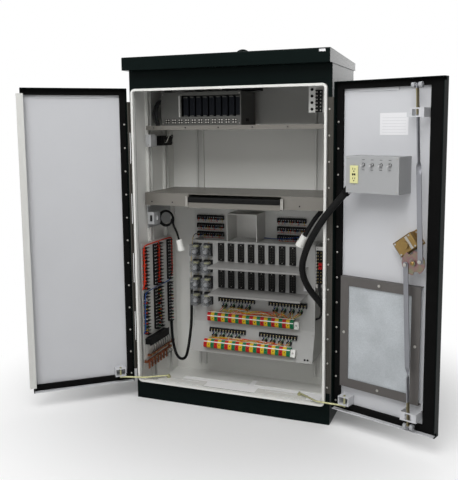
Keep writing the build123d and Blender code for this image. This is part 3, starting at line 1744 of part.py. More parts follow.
pieces = {
    "cabinet_shell": cabinet_shell,
    "roof_cap": roof_cap,
    "plenum_deck": plenum_deck,
    "fan_housing": fan_housing,
    "fan_rotor": fan_rotor,
    "wall_channels": wall_channels,
    "upper_shelf": upper_shelf,
    "lower_shelf": lower_shelf,
    "drawer": drawer,
    "drawer_pull": drawer_pull,
    "card_rack": card_rack,
    "rack_cards": rack_cards,
    "jack_bar": jack_bar,
    "power_units": power_units,
    "surge_units": surge_units,
    "rear_panels": rear_panels,
    "centre_bracket": centre_bracket,
    "load_panel": load_panel,
    "sockets": sockets,
    "relay_covers": relay_covers,
    "terminal_strips": terminal_strips,
    "field_blocks_red": field_blocks_red,
    "field_blocks_yellow": field_blocks_yellow,
    "field_blocks_green": field_blocks_green,
    "marker_strips": marker_strips,
    "wall_panel": wall_panel,
    "bus_bars": bus_bars,
    "stay_plates": stay_plates,
    "left_hinge_leaf": left_hinge_leaf,
    "right_hinge_leaf": right_hinge_leaf,
    "left_door": left_door,
    "left_door_hinge_leaf": left_door_hinge_leaf,
    "left_door_gasket": left_door_gasket,
    "left_door_strip": left_door_strip,
    "right_door": right_door,
    "right_door_hinge_leaf": right_door_hinge_leaf,
    "right_door_gasket": right_door_gasket,
    "filter_pad": filter_pad,
    "filter_frame": filter_frame,
    "switch_box": switch_box,
    "outlet": outlet,
    "toggle_1": toggle_1,
    "toggle_2": toggle_2,
    "toggle_3": toggle_3,
    "toggle_4": toggle_4,
    "lock_case": lock_case,
    "latch_cam": latch_cam,
    "door_handle": door_handle,
    "upper_rod": upper_rod,
    "lower_rod": lower_rod,
    "upper_rollers": upper_rollers,
    "lower_rollers": lower_rollers,
    "left_stay_rod": left_stay_rod,
    "right_stay_rod": right_stay_rod,
    "door_loom": door_loom,
    "harness_right": harness_right,
    "cable_coil": cable_coil,
    "harness_plugs": harness_plugs,
}
os.makedirs("parts", exist_ok=True)
for label, piece in pieces.items():
    piece.part.label = label
    export_step(piece.part, f"parts/{label}.step")
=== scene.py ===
"""Looks of a roadside utility cabinet with both doors open: finishes, wiring and small hardware."""

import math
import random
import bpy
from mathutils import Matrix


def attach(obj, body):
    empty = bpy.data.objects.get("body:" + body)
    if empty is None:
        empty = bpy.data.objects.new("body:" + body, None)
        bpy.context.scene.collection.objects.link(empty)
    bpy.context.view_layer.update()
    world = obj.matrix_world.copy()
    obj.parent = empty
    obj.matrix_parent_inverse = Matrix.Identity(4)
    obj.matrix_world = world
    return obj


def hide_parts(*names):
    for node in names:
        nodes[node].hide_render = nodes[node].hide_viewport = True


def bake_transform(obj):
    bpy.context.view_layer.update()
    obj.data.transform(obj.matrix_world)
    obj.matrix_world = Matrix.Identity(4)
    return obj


bl_info = {
    "name": "Roadside Utility Cabinet",
    "version": (1, 0, 0),
    "blender": (4, 5, 0),
    "location": "View3D > Sidebar > Cabinet",
    "description": "Dresses the packed cabinet with finishes, wiring and small hardware",
    "category": "Object",
}

import bpy
from bpy.props import FloatProperty, FloatVectorProperty, PointerProperty
from mathutils import Matrix, Vector

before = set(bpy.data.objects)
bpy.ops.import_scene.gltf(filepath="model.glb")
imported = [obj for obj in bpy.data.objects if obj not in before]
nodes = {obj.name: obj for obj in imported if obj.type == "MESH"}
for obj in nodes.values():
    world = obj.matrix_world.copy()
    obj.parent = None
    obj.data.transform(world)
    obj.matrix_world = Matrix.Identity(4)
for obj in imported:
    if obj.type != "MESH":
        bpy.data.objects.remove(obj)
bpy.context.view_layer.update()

# Door frames at rest, in metres: hinge line, direction of the width and direction of the inside face
LEFT_HINGE = Vector((-0.4622, -0.2209, 0))
LEFT_ALONG = Vector((-0.76604, -0.64279, 0))
LEFT_INWARD = Vector((0.64279, -0.76604, 0))
RIGHT_HINGE = Vector((0.4622, -0.2209, 0))
RIGHT_ALONG = Vector((0.94552, -0.32557, 0))
RIGHT_INWARD = Vector((-0.32557, -0.94552, 0))

# Where the coat changes on pieces that have two, in metres
INNER_HALF_WIDTH = 0.4556
INNER_HALF_DEPTH = 0.2142
RIM_FACE = -0.2165
RIM_TOP = 1.45
PAN_ALONG = (0.0090, 0.4536)
PAN_DEPTH = (-0.0325, 0.2)
PAN_HEIGHT = (0.0790, 1.4220)
GLAND_END = 0.1036
UPPER_GUIDE = (1.291, 1.385)
LOWER_GUIDE = (0.112, 0.205)
LEDGE_BOTTOM = 0.46
PLATE_FACE = 0.0665
FAR = 1.0

# Faces that small hardware sits on, in millimetres
LOAD_FACE = 67.1
WALL_FACE = -437.5
REAR_STRIP_FACE = 187.2
SOCKET_FACE = 62.1
RELAY_FACE = 53.0
BAR_FACE = 35.8
RACK_FACE = -59.9
LEAF_FACE = -217.9
CAM_FACE = 26.8
BOX_FACE = 70.0
OUTLET_FACE = 73.8

# Load panel below its crease, where it leans forward, in millimetres
DESK_CREASE = 310.0
DESK_UP = Vector((0, 0.34065, 0.94019))
DESK_OUT = Vector((0, -0.94019, 0.34065))

# Rows on the load panel: strip lefts and middle, plug lefts and middle, field bar left and middle
PANEL_ROWS = (
    ((-151, 103), -120, (-122, 134), -88, -203, -33),
    ((-195, 59), 36.6, (-168, 87), 64.2, -209.5, 104.2),
)
PLUG_PITCH = 40
PLUGS_IN_GROUP = 4

# Barrier strips: places, then cells, pitch and poles in a cell
REAR_LEFTS = (-315, 105)
REAR_TOPS = (818, 777, 736)
REAR_STRIP = (3, 46, 4)
WALL_YS = (-168, -70, -25, 76)
WALL_BOTTOMS = (288, 504)
WALL_STRIP = (3, 65, 4)
STRIP_FIN = 3.0

# How a grain shows: span of the noise that counts, and how far it spreads the roughness
GRAIN_LOW = 0.3
GRAIN_HIGH = 0.7
GLOSS_SPREAD = 0.2

# Two coats on one piece: orange peel and clouds in millimetres, the peel's share in the roughness,
# and how far the clouds shade the outer and the inner coat
PEEL = 3.0
DRIFT = 180.0
PEEL_GLOSS = 0.08
COAT_MOTTLE = (0.18, 0.025)


def linear(code):
    """Linear colour of an sRGB hex value."""
    parts = [int(code[i : i + 2], 16) / 255 for i in (0, 2, 4)]
    return [p / 12.92 if p <= 0.04045 else ((p + 0.055) / 1.055) ** 2.4 for p in parts]


def millimetres(*values):
    """A point given in millimetres."""
    return Vector(values) / 1000


class CabinetColours(bpy.types.PropertyGroup):
    """Colours of the large finishes."""

    enamel: FloatVectorProperty(
        name="Outside enamel",
        description="Gloss enamel on the outside of the housing and doors",
        subtype="COLOR",
        default=linear("0D1514"),
    )
    lining: FloatVectorProperty(
        name="Lining",
        description="Satin powder coat on the inside of the doors",
        subtype="COLOR",
        default=linear("C9CACD"),
    )
    walls: FloatVectorProperty(
        name="Housing walls",
        description="Satin powder coat inside the housing",
        subtype="COLOR",
        default=linear("E0E0DC"),
    )
    panels: FloatVectorProperty(
        name="Panels",
        description="Satin powder coat on the wall and rear panels",
        subtype="COLOR",
        default=linear("D2D2CE"),
    )
    shelf: FloatVectorProperty(
        name="Shelf metal",
        description="Mill-finish aluminium of the shelves and drawer",
        subtype="COLOR",
        default=linear("726F69"),
    )
    loom: FloatVectorProperty(
        name="Cable sleeve",
        description="Sleeve of the looms and cables",
        subtype="COLOR",
        default=linear("131313"),
    )


class CabinetSizes(bpy.types.PropertyGroup):
    """Sizes of the small hardware."""

    screw_radius: FloatProperty(
        name="Hinge screw radius",
        description="Radius of a pan-head screw in the hinge leaves",
        default=0.0042,
        unit="LENGTH",
    )
    wire_radius: FloatProperty(
        name="Wire radius",
        description="Radius of a single insulated wire",
        default=0.0012,
        unit="LENGTH",
    )
    loom_radius: FloatProperty(
        name="Door loom radius",
        description="Radius of the sleeved loom that crosses to the right door",
        default=0.014,
        unit="LENGTH",
    )


def add(tree, kind, links, **settings):
    """Adds one node to a tree, with its settings and with links or values for its inputs."""
    made = tree.nodes.new(kind)
    for name, value in settings.items():
        setattr(made, name, value)
    for name, value in links.items():
        if isinstance(value, bpy.types.NodeSocket):
            tree.links.new(value, made.inputs[name])
        else:
            made.inputs[name].default_value = value
    return made


def opaque(colour):
    return (*colour[:3], 1.0)


def shaded(colour, share):
    return opaque([min(1.0, c * share) for c in colour[:3]])


def start_material(name):
    """A node material with its shader, output and object coordinates."""
    material = bpy.data.materials.new(name)
    material.use_nodes = True
    tree = material.node_tree
    tree.nodes.clear()
    shader = add(tree, "ShaderNodeBsdfPrincipled", {})
    add(tree, "ShaderNodeOutputMaterial", {"Surface": shader.outputs["BSDF"]})
    place = add(tree, "ShaderNodeTexCoord", {}).outputs["Object"]
    return material, tree, shader, place


def clouded(tree, cloud, colour, mottle):
    """A colour that a cloud darkens and lightens by a share."""
    dark, light = shaded(colour, 1 - mottle), shaded(colour, 1 + mottle)
    tone = add(tree, "ShaderNodeMix", {"Factor": cloud, "A": dark, "B": light}, data_type="RGBA")
    return tone.outputs["Result"]


def grained(
    name, colour, rough, grain=2.0, relief=0.08, mottle=0.08, cloud=60.0, stretch=(1, 1, 1), **sockets
):
    """One finish: colour that clouds over `cloud` mm, with a grain of `grain` mm in gloss and relief."""
    material, tree, shader, place = start_material(name)
    for socket, value in sockets.items():
        shader.inputs[socket.replace("_", " ")].default_value = value
    spread = add(tree, "ShaderNodeMapping", {"Vector": place, "Scale": stretch}).outputs["Vector"]
    fine = add(tree, "ShaderNodeTexNoise", {"Vector": spread, "Scale": 1000 / grain, "Detail": 3.0})
    broad = add(tree, "ShaderNodeTexNoise", {"Vector": place, "Scale": 1000 / cloud, "Detail": 2.0})
    tint = clouded(tree, broad.outputs["Fac"], colour, mottle)
    return finish_grain(material, tree, shader, tint, fine.outputs["Fac"], rough, relief)


def finish_grain(material, tree, shader, colour, grain, rough, relief):
    """Links a colour, and a grain that breaks up the gloss and stands in relief."""
    tree.links.new(colour, shader.inputs["Base Color"])
    span = {"From Min": GRAIN_LOW, "From Max": GRAIN_HIGH}
    gloss = {"To Min": rough * (1 - GLOSS_SPREAD), "To Max": rough * (1 + GLOSS_SPREAD)}
    broken = add(tree, "ShaderNodeMapRange", {"Value": grain, **span, **gloss})
    tree.links.new(broken.outputs["Result"], shader.inputs["Roughness"])
    bump = add(tree, "ShaderNodeBump", {"Height": grain, "Strength": relief, "Distance": 0.0006})
    tree.links.new(bump.outputs["Normal"], shader.inputs["Normal"])
    return material


def within(tree, value, low, high):
    """1 where a value lies between two bounds."""
    above = add(tree, "ShaderNodeMath", {0: value, 1: low}, operation="GREATER_THAN").outputs[0]
    below = add(tree, "ShaderNodeMath", {0: value, 1: high}, operation="LESS_THAN").outputs[0]
    return add(tree, "ShaderNodeMath", {0: above, 1: below}, operation="MULTIPLY").outputs[0]


def two_coat(name, mask, outside, inside, rough_outside, rough_inside, specular=0.03, metallic=0.0):
    """Two coats on one piece, split by a mask, with orange peel over broad clouds."""
    material, tree, shader, place = start_material(name)
    shader.inputs["Specular IOR Level"].default_value = specular
    shader.inputs["Metallic"].default_value = metallic
    lined = mask(tree, place)
    peel = add(tree, "ShaderNodeTexNoise", {"Vector": place, "Scale": 1000 / PEEL, "Detail": 2.0})
    drift = add(tree, "ShaderNodeTexNoise", {"Vector": place, "Scale": 1000 / DRIFT, "Detail": 3.0})
    grain, cloud = peel.outputs["Fac"], drift.outputs["Fac"]
    outer, inner = COAT_MOTTLE
    tones = {"A": clouded(tree, cloud, outside, outer), "B": clouded(tree, cloud, inside, inner)}
    coat = add(tree, "ShaderNodeMix", {"Factor": lined, **tones}, data_type="RGBA")
    tree.links.new(coat.outputs["Result"], shader.inputs["Base Color"])
    gloss = add(tree, "ShaderNodeMix", {"Factor": lined, "A": rough_outside, "B": rough_inside})
    spread = {0: grain, 1: PEEL_GLOSS, 2: gloss.outputs["Result"]}
    broken = add(tree, "ShaderNodeMath", spread, operation="MULTIPLY_ADD")
    tree.links.new(broken.outputs[0], shader.inputs["Roughness"])
    bump = add(tree, "ShaderNodeBump", {"Height": grain, "Strength": 0.06, "Distance": 0.0004})
    tree.links.new(bump.outputs["Normal"], shader.inputs["Normal"])
    return material


def housing_mask(tree, place):
    """Inside of the housing walls, and the rim that stands round the opening."""
    axes = add(tree, "ShaderNodeSeparateXYZ", {"Vector": place})
    across = within(tree, axes.outputs["X"], -INNER_HALF_WIDTH, INNER_HALF_WIDTH)
    inward = within(tree, axes.outputs["Y"], -INNER_HALF_DEPTH, INNER_HALF_DEPTH)
    inside = add(tree, "ShaderNodeMath", {0: across, 1: inward}, operation="MULTIPLY").outputs[0]
    proud = add(tree, "ShaderNodeMath", {0: axes.outputs["Y"], 1: RIM_FACE}, operation="LESS_THAN").outputs[0]
    height = within(tree, axes.outputs["Z"], 0.0, RIM_TOP)
    rim = add(tree, "ShaderNodeMath", {0: proud, 1: height}, operation="MULTIPLY").outputs[0]
    return add(tree, "ShaderNodeMath", {0: inside, 1: rim}, operation="MAXIMUM").outputs[0]


def distance_along(tree, place, origin, direction):
    """How far a place lies from an origin, measured along a direction."""
    moved = add(tree, "ShaderNodeVectorMath", {0: place, 1: origin}, operation="SUBTRACT").outputs[0]
    run = add(tree, "ShaderNodeVectorMath", {0: moved, 1: direction}, operation="DOT_PRODUCT")
    return run.outputs["Value"]


def door_mask(hinge, along, inward):
    """Mask of a door pan's inside, from its hinge line and directions."""

    def mask(tree, place):
        width = within(tree, distance_along(tree, place, hinge, along), *PAN_ALONG)
        depth = within(tree, distance_along(tree, place, hinge, inward), *PAN_DEPTH)
        axes = add(tree, "ShaderNodeSeparateXYZ", {"Vector": place})
        height = within(tree, axes.outputs["Z"], *PAN_HEIGHT)
        flat = add(tree, "ShaderNodeMath", {0: width, 1: depth}, operation="MULTIPLY").outputs[0]
        return add(tree, "ShaderNodeMath", {0: flat, 1: height}, operation="MULTIPLY").outputs[0]

    return mask


def box_mask(tree, place):
    """The switch box, apart from the black gland on its hinge side."""
    return within(tree, distance_along(tree, place, RIGHT_HINGE, RIGHT_ALONG), GLAND_END, FAR)


def guide_mask(tree, place):
    """The stretches of the latch rods that run in their guides."""
    axes = add(tree, "ShaderNodeSeparateXYZ", {"Vector": place})
    upper = within(tree, axes.outputs["Z"], *UPPER_GUIDE)
    lower = within(tree, axes.outputs["Z"], *LOWER_GUIDE)
    return add(tree, "ShaderNodeMath", {0: upper, 1: lower}, operation="MAXIMUM").outputs[0]


def ledge_mask(tree, place):
    """The load panel's plate, apart from the bright ledges that stand out of its upper half."""
    axes = add(tree, "ShaderNodeSeparateXYZ", {"Vector": place})
    plate = within(tree, axes.outputs["Y"], PLATE_FACE, FAR)
    low = add(tree, "ShaderNodeMath", {0: axes.outputs["Z"], 1: LEDGE_BOTTOM}, operation="LESS_THAN")
    return add(tree, "ShaderNodeMath", {0: plate, 1: low.outputs[0]}, operation="MAXIMUM").outputs[0]


# Finishes of one colour: material, sRGB colour, roughness and what sets its grain apart, in millimetres
PLAIN_FINISHES = {
    # Brushed aluminium: fine upright lines and a soft grey shine
    "brushed": (
        "brushed_aluminium_frame",
        "5B5856",
        0.45,
        dict(grain=2.0, mottle=0.1, stretch=(1, 1, 0.04), Metallic=0.6),
    ),
    # Plain aluminium with painted shade: darkened to a dull mid grey for the shaded cavity under the roof
    "rack": ("aluminium_rack_painted_shade", "565653", 0.5, dict(grain=1.5, Metallic=0.3)),
    # Plain aluminium sheet: pale, nearly matt
    "sheet": ("plain_aluminium_sheet", "C2C1BD", 0.45, dict(grain=1.5, Metallic=0.2)),
    # Bright zinc plate: cool grey with soft clouding
    "zinc": ("bright_zinc_plate", "A9A7A2", 0.36, dict(grain=1.5, cloud=25.0, Metallic=0.9)),
    # Bright chrome plate: the palest metal, with clear highlights
    "chrome": ("bright_chrome_plate", "D2D2D2", 0.28, dict(grain=1.0, mottle=0.05, Metallic=0.4)),
    # Oiled hinge steel: dark brown grey without shine
    "hinge": ("hinge_steel", "3B3832", 0.55, dict(grain=1.5, cloud=30.0, Metallic=0.3)),
    # Yellow zinc plate: straw and grey in patches
    "stay": ("yellow_zinc_plate", "AFAE86", 0.4, dict(cloud=18.0, mottle=0.25, Metallic=0.7)),
    # Gold chromate: warm brass tone with darker patches
    "gold": ("gold_chromate", "876F43", 0.36, dict(cloud=16.0, mottle=0.2, Metallic=0.85)),
    # Bare copper bar: red brown with tarnish
    "copper": ("bare_copper_bar", "94583A", 0.4, dict(cloud=14.0, mottle=0.2, Metallic=0.8)),
    # Plated brass screws: pale warm metal
    "brass": ("plated_brass", "A8996F", 0.36, dict(grain=0.8, cloud=8.0, Metallic=0.7)),
    # Dark plated contacts: brown black with a faint gleam
    "contact": ("dark_plated_contact", "34332F", 0.5, dict(grain=0.9, Specular_IOR_Level=0.15)),
    # Moulded plastics: fine even texture, little cloud, a soft sheen
    "black": ("black_moulded_nylon", "141414", 0.45, dict(grain=0.9, mottle=0.15, Specular_IOR_Level=0.1)),
    "white": ("white_moulded_plastic", "E4E4E0", 0.4, dict(grain=0.9, mottle=0.03)),
    "ivory": ("ivory_urea_moulding", "DAD79C", 0.32, dict(grain=0.8, mottle=0.04)),
    "roller": ("natural_nylon", "A3A5A8", 0.45, dict(grain=0.9, mottle=0.06)),
    "red": ("red_moulded_nylon", "AE1518", 0.4, dict(grain=0.9, Specular_IOR_Level=0.2)),
    "yellow": ("yellow_moulded_nylon", "CBAA22", 0.4, dict(grain=0.9, Specular_IOR_Level=0.2)),
    "green": ("green_moulded_nylon", "0A6B42", 0.4, dict(grain=0.9, Specular_IOR_Level=0.2)),
    # Clear moulded cover: mostly see-through, with a grey cast and gloss
    "clear": ("clear_polycarbonate", "7C7F82", 0.2, dict(grain=4.0, mottle=0.05, Alpha=0.3)),
    # Hammer paint: light grey with small dimples
    "grey": ("grey_hammer_paint", "A6A7A8", 0.42, dict(grain=1.6, relief=0.15, mottle=0.04)),
    # Lacquered boards: blue black, uneven over a few millimetres
    "board": (
        "dark_board_fronts",
        "0D1118",
        0.45,
        dict(grain=1.0, mottle=0.25, cloud=12.0, Specular_IOR_Level=0.1),
    ),
    # Closed-cell foam: black, matt, with open pores at its skin
    "foam": (
        "closed_cell_foam",
        "111111",
        0.9,
        dict(grain=1.4, relief=0.4, mottle=0.25, Specular_IOR_Level=0.04),
    ),
    # Coated paper card and its printed rules: matt, almost without grain
    "card": ("coated_paper_card", "E2E2E4", 0.6, dict(grain=0.8, relief=0.02, mottle=0.02)),
    "ink": ("printed_rule_ink", "AFB0B4", 0.6, dict(grain=0.8, relief=0.02, mottle=0.05)),
}

# PVC wire insulation: glossy even colour
INSULATION = {
    "red": "CE381C",
    "yellow": "C8A92E",
    "green": "2F7A4C",
    "white": "D4D2CA",
    "blue": "2C4F8C",
    "black": "161616",
}

# CAD nodes by the finish that they wear
WORN = {
    "housing": ("cabinet_shell",),
    "left_pan": ("left_door",),
    "right_pan": ("right_door",),
    "enamel": ("roof_cap",),
    "powder": ("rear_panels", "wall_panel", "stay_plates", "left_door_strip", "wall_channels"),
    "rolled": ("upper_shelf", "lower_shelf", "drawer", "plenum_deck"),
    "sheet": ("centre_bracket",),
    "rack": ("card_rack",),
    "ledge": ("load_panel",),
    "brushed": ("filter_frame",),
    "black": ("drawer_pull", "fan_housing", "fan_rotor", "surge_units", "sockets", "terminal_strips"),
    "board": ("rack_cards",),
    "white": ("jack_bar", "marker_strips", "harness_plugs"),
    "grey": ("power_units",),
    "box": ("switch_box",),
    "red": ("field_blocks_red",),
    "yellow": ("field_blocks_yellow",),
    "green": ("field_blocks_green",),
    "copper": ("bus_bars",),
    "clear": ("relay_covers",),
    "hinge": ("left_hinge_leaf", "right_hinge_leaf", "left_door_hinge_leaf", "right_door_hinge_leaf"),
    "foam": ("left_door_gasket", "right_door_gasket"),
    "ivory": ("outlet",),
    "zinc": ("door_handle",),
    "chrome": ("toggle_1", "toggle_2", "toggle_3", "toggle_4"),
    "rod": ("upper_rod", "lower_rod"),
    "roller": ("upper_rollers", "lower_rollers"),
    "gold": ("lock_case",),
    "cam": ("latch_cam",),
    "stay": ("left_stay_rod", "right_stay_rod"),
    "sleeve": ("door_loom", "harness_right", "cable_coil"),
}
finishes = {}


class CABINET_OT_finishes(bpy.types.Operator):
    """Makes every finish and gives each CAD node its own"""

    bl_idname = "cabinet.finishes"
    bl_label = "Finishes"

    def execute(self, context):
        for key, (name, code, rough, grain) in PLAIN_FINISHES.items():
            finishes[key] = grained(name, linear(code), rough, **grain)
        for colour, code in INSULATION.items():
            finishes["wire_" + colour] = grained(
                "pvc_insulation_" + colour, linear(code), 0.42, grain=1.0, mottle=0.1, Specular_IOR_Level=0.2
            )
        self.coats(context.scene.cabinet_colours)
        finishes["cam"] = iridescent_zinc()
        finishes["fibre"] = filter_fibre()
        for key, names in WORN.items():
            for name in names:
                slots = nodes[name].data.materials
                slots.clear()
                slots.append(finishes[key])
        return {"FINISHED"}

    def coats(self, colours):
        made = finishes
        enamel, lining, shelf, loom = colours.enamel, colours.lining, colours.shelf, colours.loom
        # Gloss enamel over steel: nearly black green, faint orange peel, and a white lining
        left = door_mask(LEFT_HINGE, LEFT_ALONG, LEFT_INWARD)
        right = door_mask(RIGHT_HINGE, RIGHT_ALONG, RIGHT_INWARD)
        made["housing"] = two_coat("gloss_enamel_housing", housing_mask, enamel, colours.walls, 0.22, 0.42)
        made["left_pan"] = two_coat("gloss_enamel_left_door", left, enamel, lining, 0.22, 0.42)
        made["right_pan"] = two_coat("gloss_enamel_right_door", right, enamel, lining, 0.22, 0.42)
        made["enamel"] = grained(
            "gloss_enamel_roof", enamel, 0.24, grain=3.0, mottle=0.18, cloud=180.0, Specular_IOR_Level=0.03
        )
        # Satin powder coat: fine even grain, hardly any cloud
        made["powder"] = grained(
            "satin_powder_coat", colours.panels, 0.42, grain=1.2, mottle=0.02, cloud=150.0
        )
        # Rolled aluminium sheet: warm grey, grain drawn out along X
        made["rolled"] = grained(
            "rolled_aluminium", shelf, 0.42, grain=2.5, mottle=0.06, stretch=(0.03, 1, 1), Metallic=0.35
        )
        # Coated panel with ledges of plain aluminium: pale grey beside a darker metal grey
        made["ledge"] = two_coat(
            "ledge_aluminium_and_coat", ledge_mask, linear("8C8B89"), linear("AEAEAC"), 0.3, 0.42
        )
        # Hammer paint with a black rubber gland: light grey beside black
        made["box"] = two_coat(
            "hammer_paint_and_gland", box_mask, linear("141414"), linear("A6A7A8"), 0.45, 0.42
        )
        # Drawn steel bar: cool grey shine, browner where grease from the guides has stayed on it
        made["rod"] = two_coat(
            "drawn_steel_bar", guide_mask, linear("84858A"), linear("7C7356"), 0.40, 0.42, 0.5, 0.6
        )
        # Woven cable sleeve: black and dull, with a coarse weave in relief
        made["sleeve"] = grained(
            "woven_cable_sleeve", loom, 0.62, grain=2.2, relief=0.5, mottle=0.2, Specular_IOR_Level=0.12
        )


def ramped(tree, value, stops):
    """Colours along a value, as pairs of a position and an sRGB hex value."""
    ramp = add(tree, "ShaderNodeValToRGB", {"Fac": value})
    elements = ramp.color_ramp.elements
    elements[0].position = stops[0][0]
    elements[1].position = stops[-1][0]
    for position, _ in stops[1:-1]:
        elements.new(position)
    for element, (_, code) in zip(elements, stops):
        element.color = opaque(linear(code))
    return ramp.outputs["Color"]


def iridescent_zinc():
    """Rainbow zinc chromate: patches of rose, green and straw over a bright plate, about 38 mm across."""
    material, tree, shader, place = start_material("iridescent_zinc_chromate")
    shader.inputs["Metallic"].default_value = 0.8
    patches = add(tree, "ShaderNodeTexNoise", {"Vector": place, "Scale": 1000 / 38.0, "Detail": 1.5})
    tones = ((0.32, "767E63"), (0.44, "816C63"), (0.52, "816066"), (0.60, "7D796C"), (0.70, "8A8160"))
    colour = ramped(tree, patches.outputs["Fac"], tones)
    fine = add(tree, "ShaderNodeTexNoise", {"Vector": place, "Scale": 1000 / 1.5, "Detail": 2.0})
    return finish_grain(material, tree, shader, colour, fine.outputs["Fac"], 0.36, 0.05)


def filter_fibre():
    """Blown fibre mat: cool white, clumps 5 mm across, thinner and thicker in drifts of 110 mm."""
    material, tree, shader, place = start_material("blown_fibre_mat")
    shader.inputs["Sheen Weight"].default_value = 0.2
    clumps = add(
        tree, "ShaderNodeTexNoise", {"Vector": place, "Scale": 1000 / 5.0, "Detail": 6.0, "Roughness": 0.7}
    ).outputs["Fac"]
    colour = ramped(tree, clumps, ((0.3, "A9AEB2"), (0.7, "BEC3C6")))
    drifts = add(tree, "ShaderNodeTexNoise", {"Vector": place, "Scale": 1000 / 110.0, "Detail": 3.0})
    thin = add(
        tree,
        "ShaderNodeMapRange",
        {"Value": drifts.outputs["Fac"], "From Min": 0.35, "From Max": 0.65, "To Min": 0.90, "To Max": 1.07},
    ).outputs["Result"]
    mat = add(tree, "ShaderNodeVectorMath", {0: colour, "Scale": thin}, operation="SCALE").outputs["Vector"]
    return finish_grain(material, tree, shader, mat, clumps, 0.9, 0.6)


def clear_selection():
    if bpy.context.mode != "OBJECT":
        bpy.ops.object.mode_set(mode="OBJECT")
    bpy.ops.object.select_all(action="DESELECT")


def select_alone(piece):
    clear_selection()
    piece.select_set(True)
    bpy.context.view_layer.objects.active = piece


def dressed(piece, finish, body):
    """Gives a piece its finish and lets it ride on a body."""
    piece.data.materials.clear()
    piece.data.materials.append(finishes[finish])
    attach(piece, body)
    return piece


def route_curve(name, routes, radius, steps=10, rounding=5):
    """A curve with one NURBS spline for each route of control points, in metres."""
    curve = bpy.data.curves.new(name, "CURVE")
    curve.dimensions = "3D"
    curve.resolution_u = steps
    for points in routes:
        spline = curve.splines.new("NURBS")
        spline.points.add(len(points) - 1)
        for point, place in zip(spline.points, points):
            point.co = (*place, 1.0)
        spline.order_u = 3
        spline.use_endpoint_u = True
    curve.bevel_depth = radius
    curve.bevel_resolution = rounding
    curve.use_fill_caps = True
    piece = bpy.data.objects.new(name, curve)
    bpy.context.scene.collection.objects.link(piece)
    return piece


def route_path(piece):
    """Points along a route's own spline, read from the curve with no bevel."""
    depth = piece.data.bevel_depth
    piece.data.bevel_depth = 0.0
    bpy.context.view_layer.update()
    bare = bpy.data.meshes.new_from_object(piece.evaluated_get(bpy.context.evaluated_depsgraph_get()))
    path = [vertex.co.copy() for vertex in bare.vertices]
    bpy.data.meshes.remove(bare)
    piece.data.bevel_depth = depth
    return path


def to_mesh(piece):
    """Turns a curve into a smooth mesh piece of the same name."""
    select_alone(piece)
    bpy.ops.object.convert(target="MESH")
    bpy.ops.object.shade_smooth()
    return bpy.context.object


def placed(origin, right, out):
    """Frame of a face: origin in millimetres, its direction to the right and the way it looks."""
    right, out = Vector(right), Vector(out)
    turn = Matrix((right, out.cross(right), out)).transposed().to_4x4()
    return Matrix.Translation(millimetres(*origin)) @ turn


def on_front(x, y, z):
    """On a face that looks out of the door opening."""
    return placed((x, y, z), (1, 0, 0), (0, -1, 0))


def on_side(x, y, z):
    """On a face that looks to the right."""
    return placed((x, y, z), (0, 1, 0), (1, 0, 0))


def on_wall(y, z, lift=0.0):
    """On the panel of the left wall."""
    return on_side(WALL_FACE + lift, y, z)


def on_panel(x, drop, lift=0.0):
    """On the load panel, by distance below its crease: upright above it, leaning forward below."""
    up, out = (DESK_UP, DESK_OUT) if drop > 0 else (Vector((0, 0, 1)), Vector((0, -1, 0)))
    origin = Vector((x, LOAD_FACE, DESK_CREASE)) - drop * up + lift * out
    return placed(origin, (1, 0, 0), out)


def panel_point(x, drop, lift):
    return on_panel(x, drop, lift).translation * 1000


def on_right_door(along, z, lift):
    origin = 1000 * RIGHT_HINGE + along * RIGHT_ALONG + lift * RIGHT_INWARD + Vector((0, 0, z))
    return placed(origin, RIGHT_ALONG, RIGHT_INWARD)


def on_left_door(along, z, lift):
    origin = 1000 * LEFT_HINGE + along * LEFT_ALONG + lift * LEFT_INWARD + Vector((0, 0, z))
    return placed(origin, -LEFT_ALONG, LEFT_INWARD)


def pick(piece, test):
    """Opens a piece in edit mode with only the faces picked that a test accepts."""
    select_alone(piece)
    bpy.ops.object.mode_set(mode="EDIT")
    bpy.ops.mesh.select_mode(type="FACE")
    bpy.ops.mesh.select_all(action="DESELECT")
    bpy.ops.object.mode_set(mode="OBJECT")
    for face in piece.data.polygons:
        face.select = test(face)
    bpy.ops.object.mode_set(mode="EDIT")


def on_top(face):
    return face.normal.z > 0.9


def all_over(face):
    return True


def shut():
    bpy.ops.object.mode_set(mode="OBJECT")
    return bpy.context.object


def round_blank(radius, height, sides=12):
    """A round bar that stands on the face it is fixed to, in millimetres."""
    clear_selection()
    bpy.ops.mesh.primitive_cylinder_add(
        vertices=sides, radius=radius / 1000, depth=height / 1000, location=(0, 0, height / 2000)
    )
    bpy.ops.object.transform_apply(location=True, rotation=True, scale=True)
    return bpy.context.object


def bar_blank(width, length, height):
    """A bar that stands on the face it is fixed to, in millimetres."""
    clear_selection()
    bpy.ops.mesh.primitive_cube_add(size=1, location=(0, 0, height / 2000))
    bpy.context.object.scale = millimetres(width, length, height)
    bpy.ops.object.transform_apply(location=True, rotation=True, scale=True)
    return bpy.context.object


def inset(thickness, depth=0.0):
    bpy.ops.mesh.inset(thickness=thickness / 1000, depth=depth / 1000)


def raise_face(height):
    bpy.ops.mesh.extrude_region_move(TRANSFORM_OT_translate={"value": (0, 0, height / 1000)})


def screw(radius, height, sides=10):
    """A pan-head screw: domed edge and a driver recess."""
    pick(round_blank(radius, height * 0.6, sides), on_top)
    inset(radius * 0.3, height * 0.4)
    inset(radius * 0.35)
    inset(radius * 0.06, -height * 0.45)
    return shut()


def nut(radius, height, stud):
    """A hexagon nut on the end of its stud."""
    pick(round_blank(radius, height, 6), on_top)
    inset(radius * 0.14, height * 0.1)
    inset(radius * 0.86 - stud)
    raise_face(height * 0.4)
    return shut()


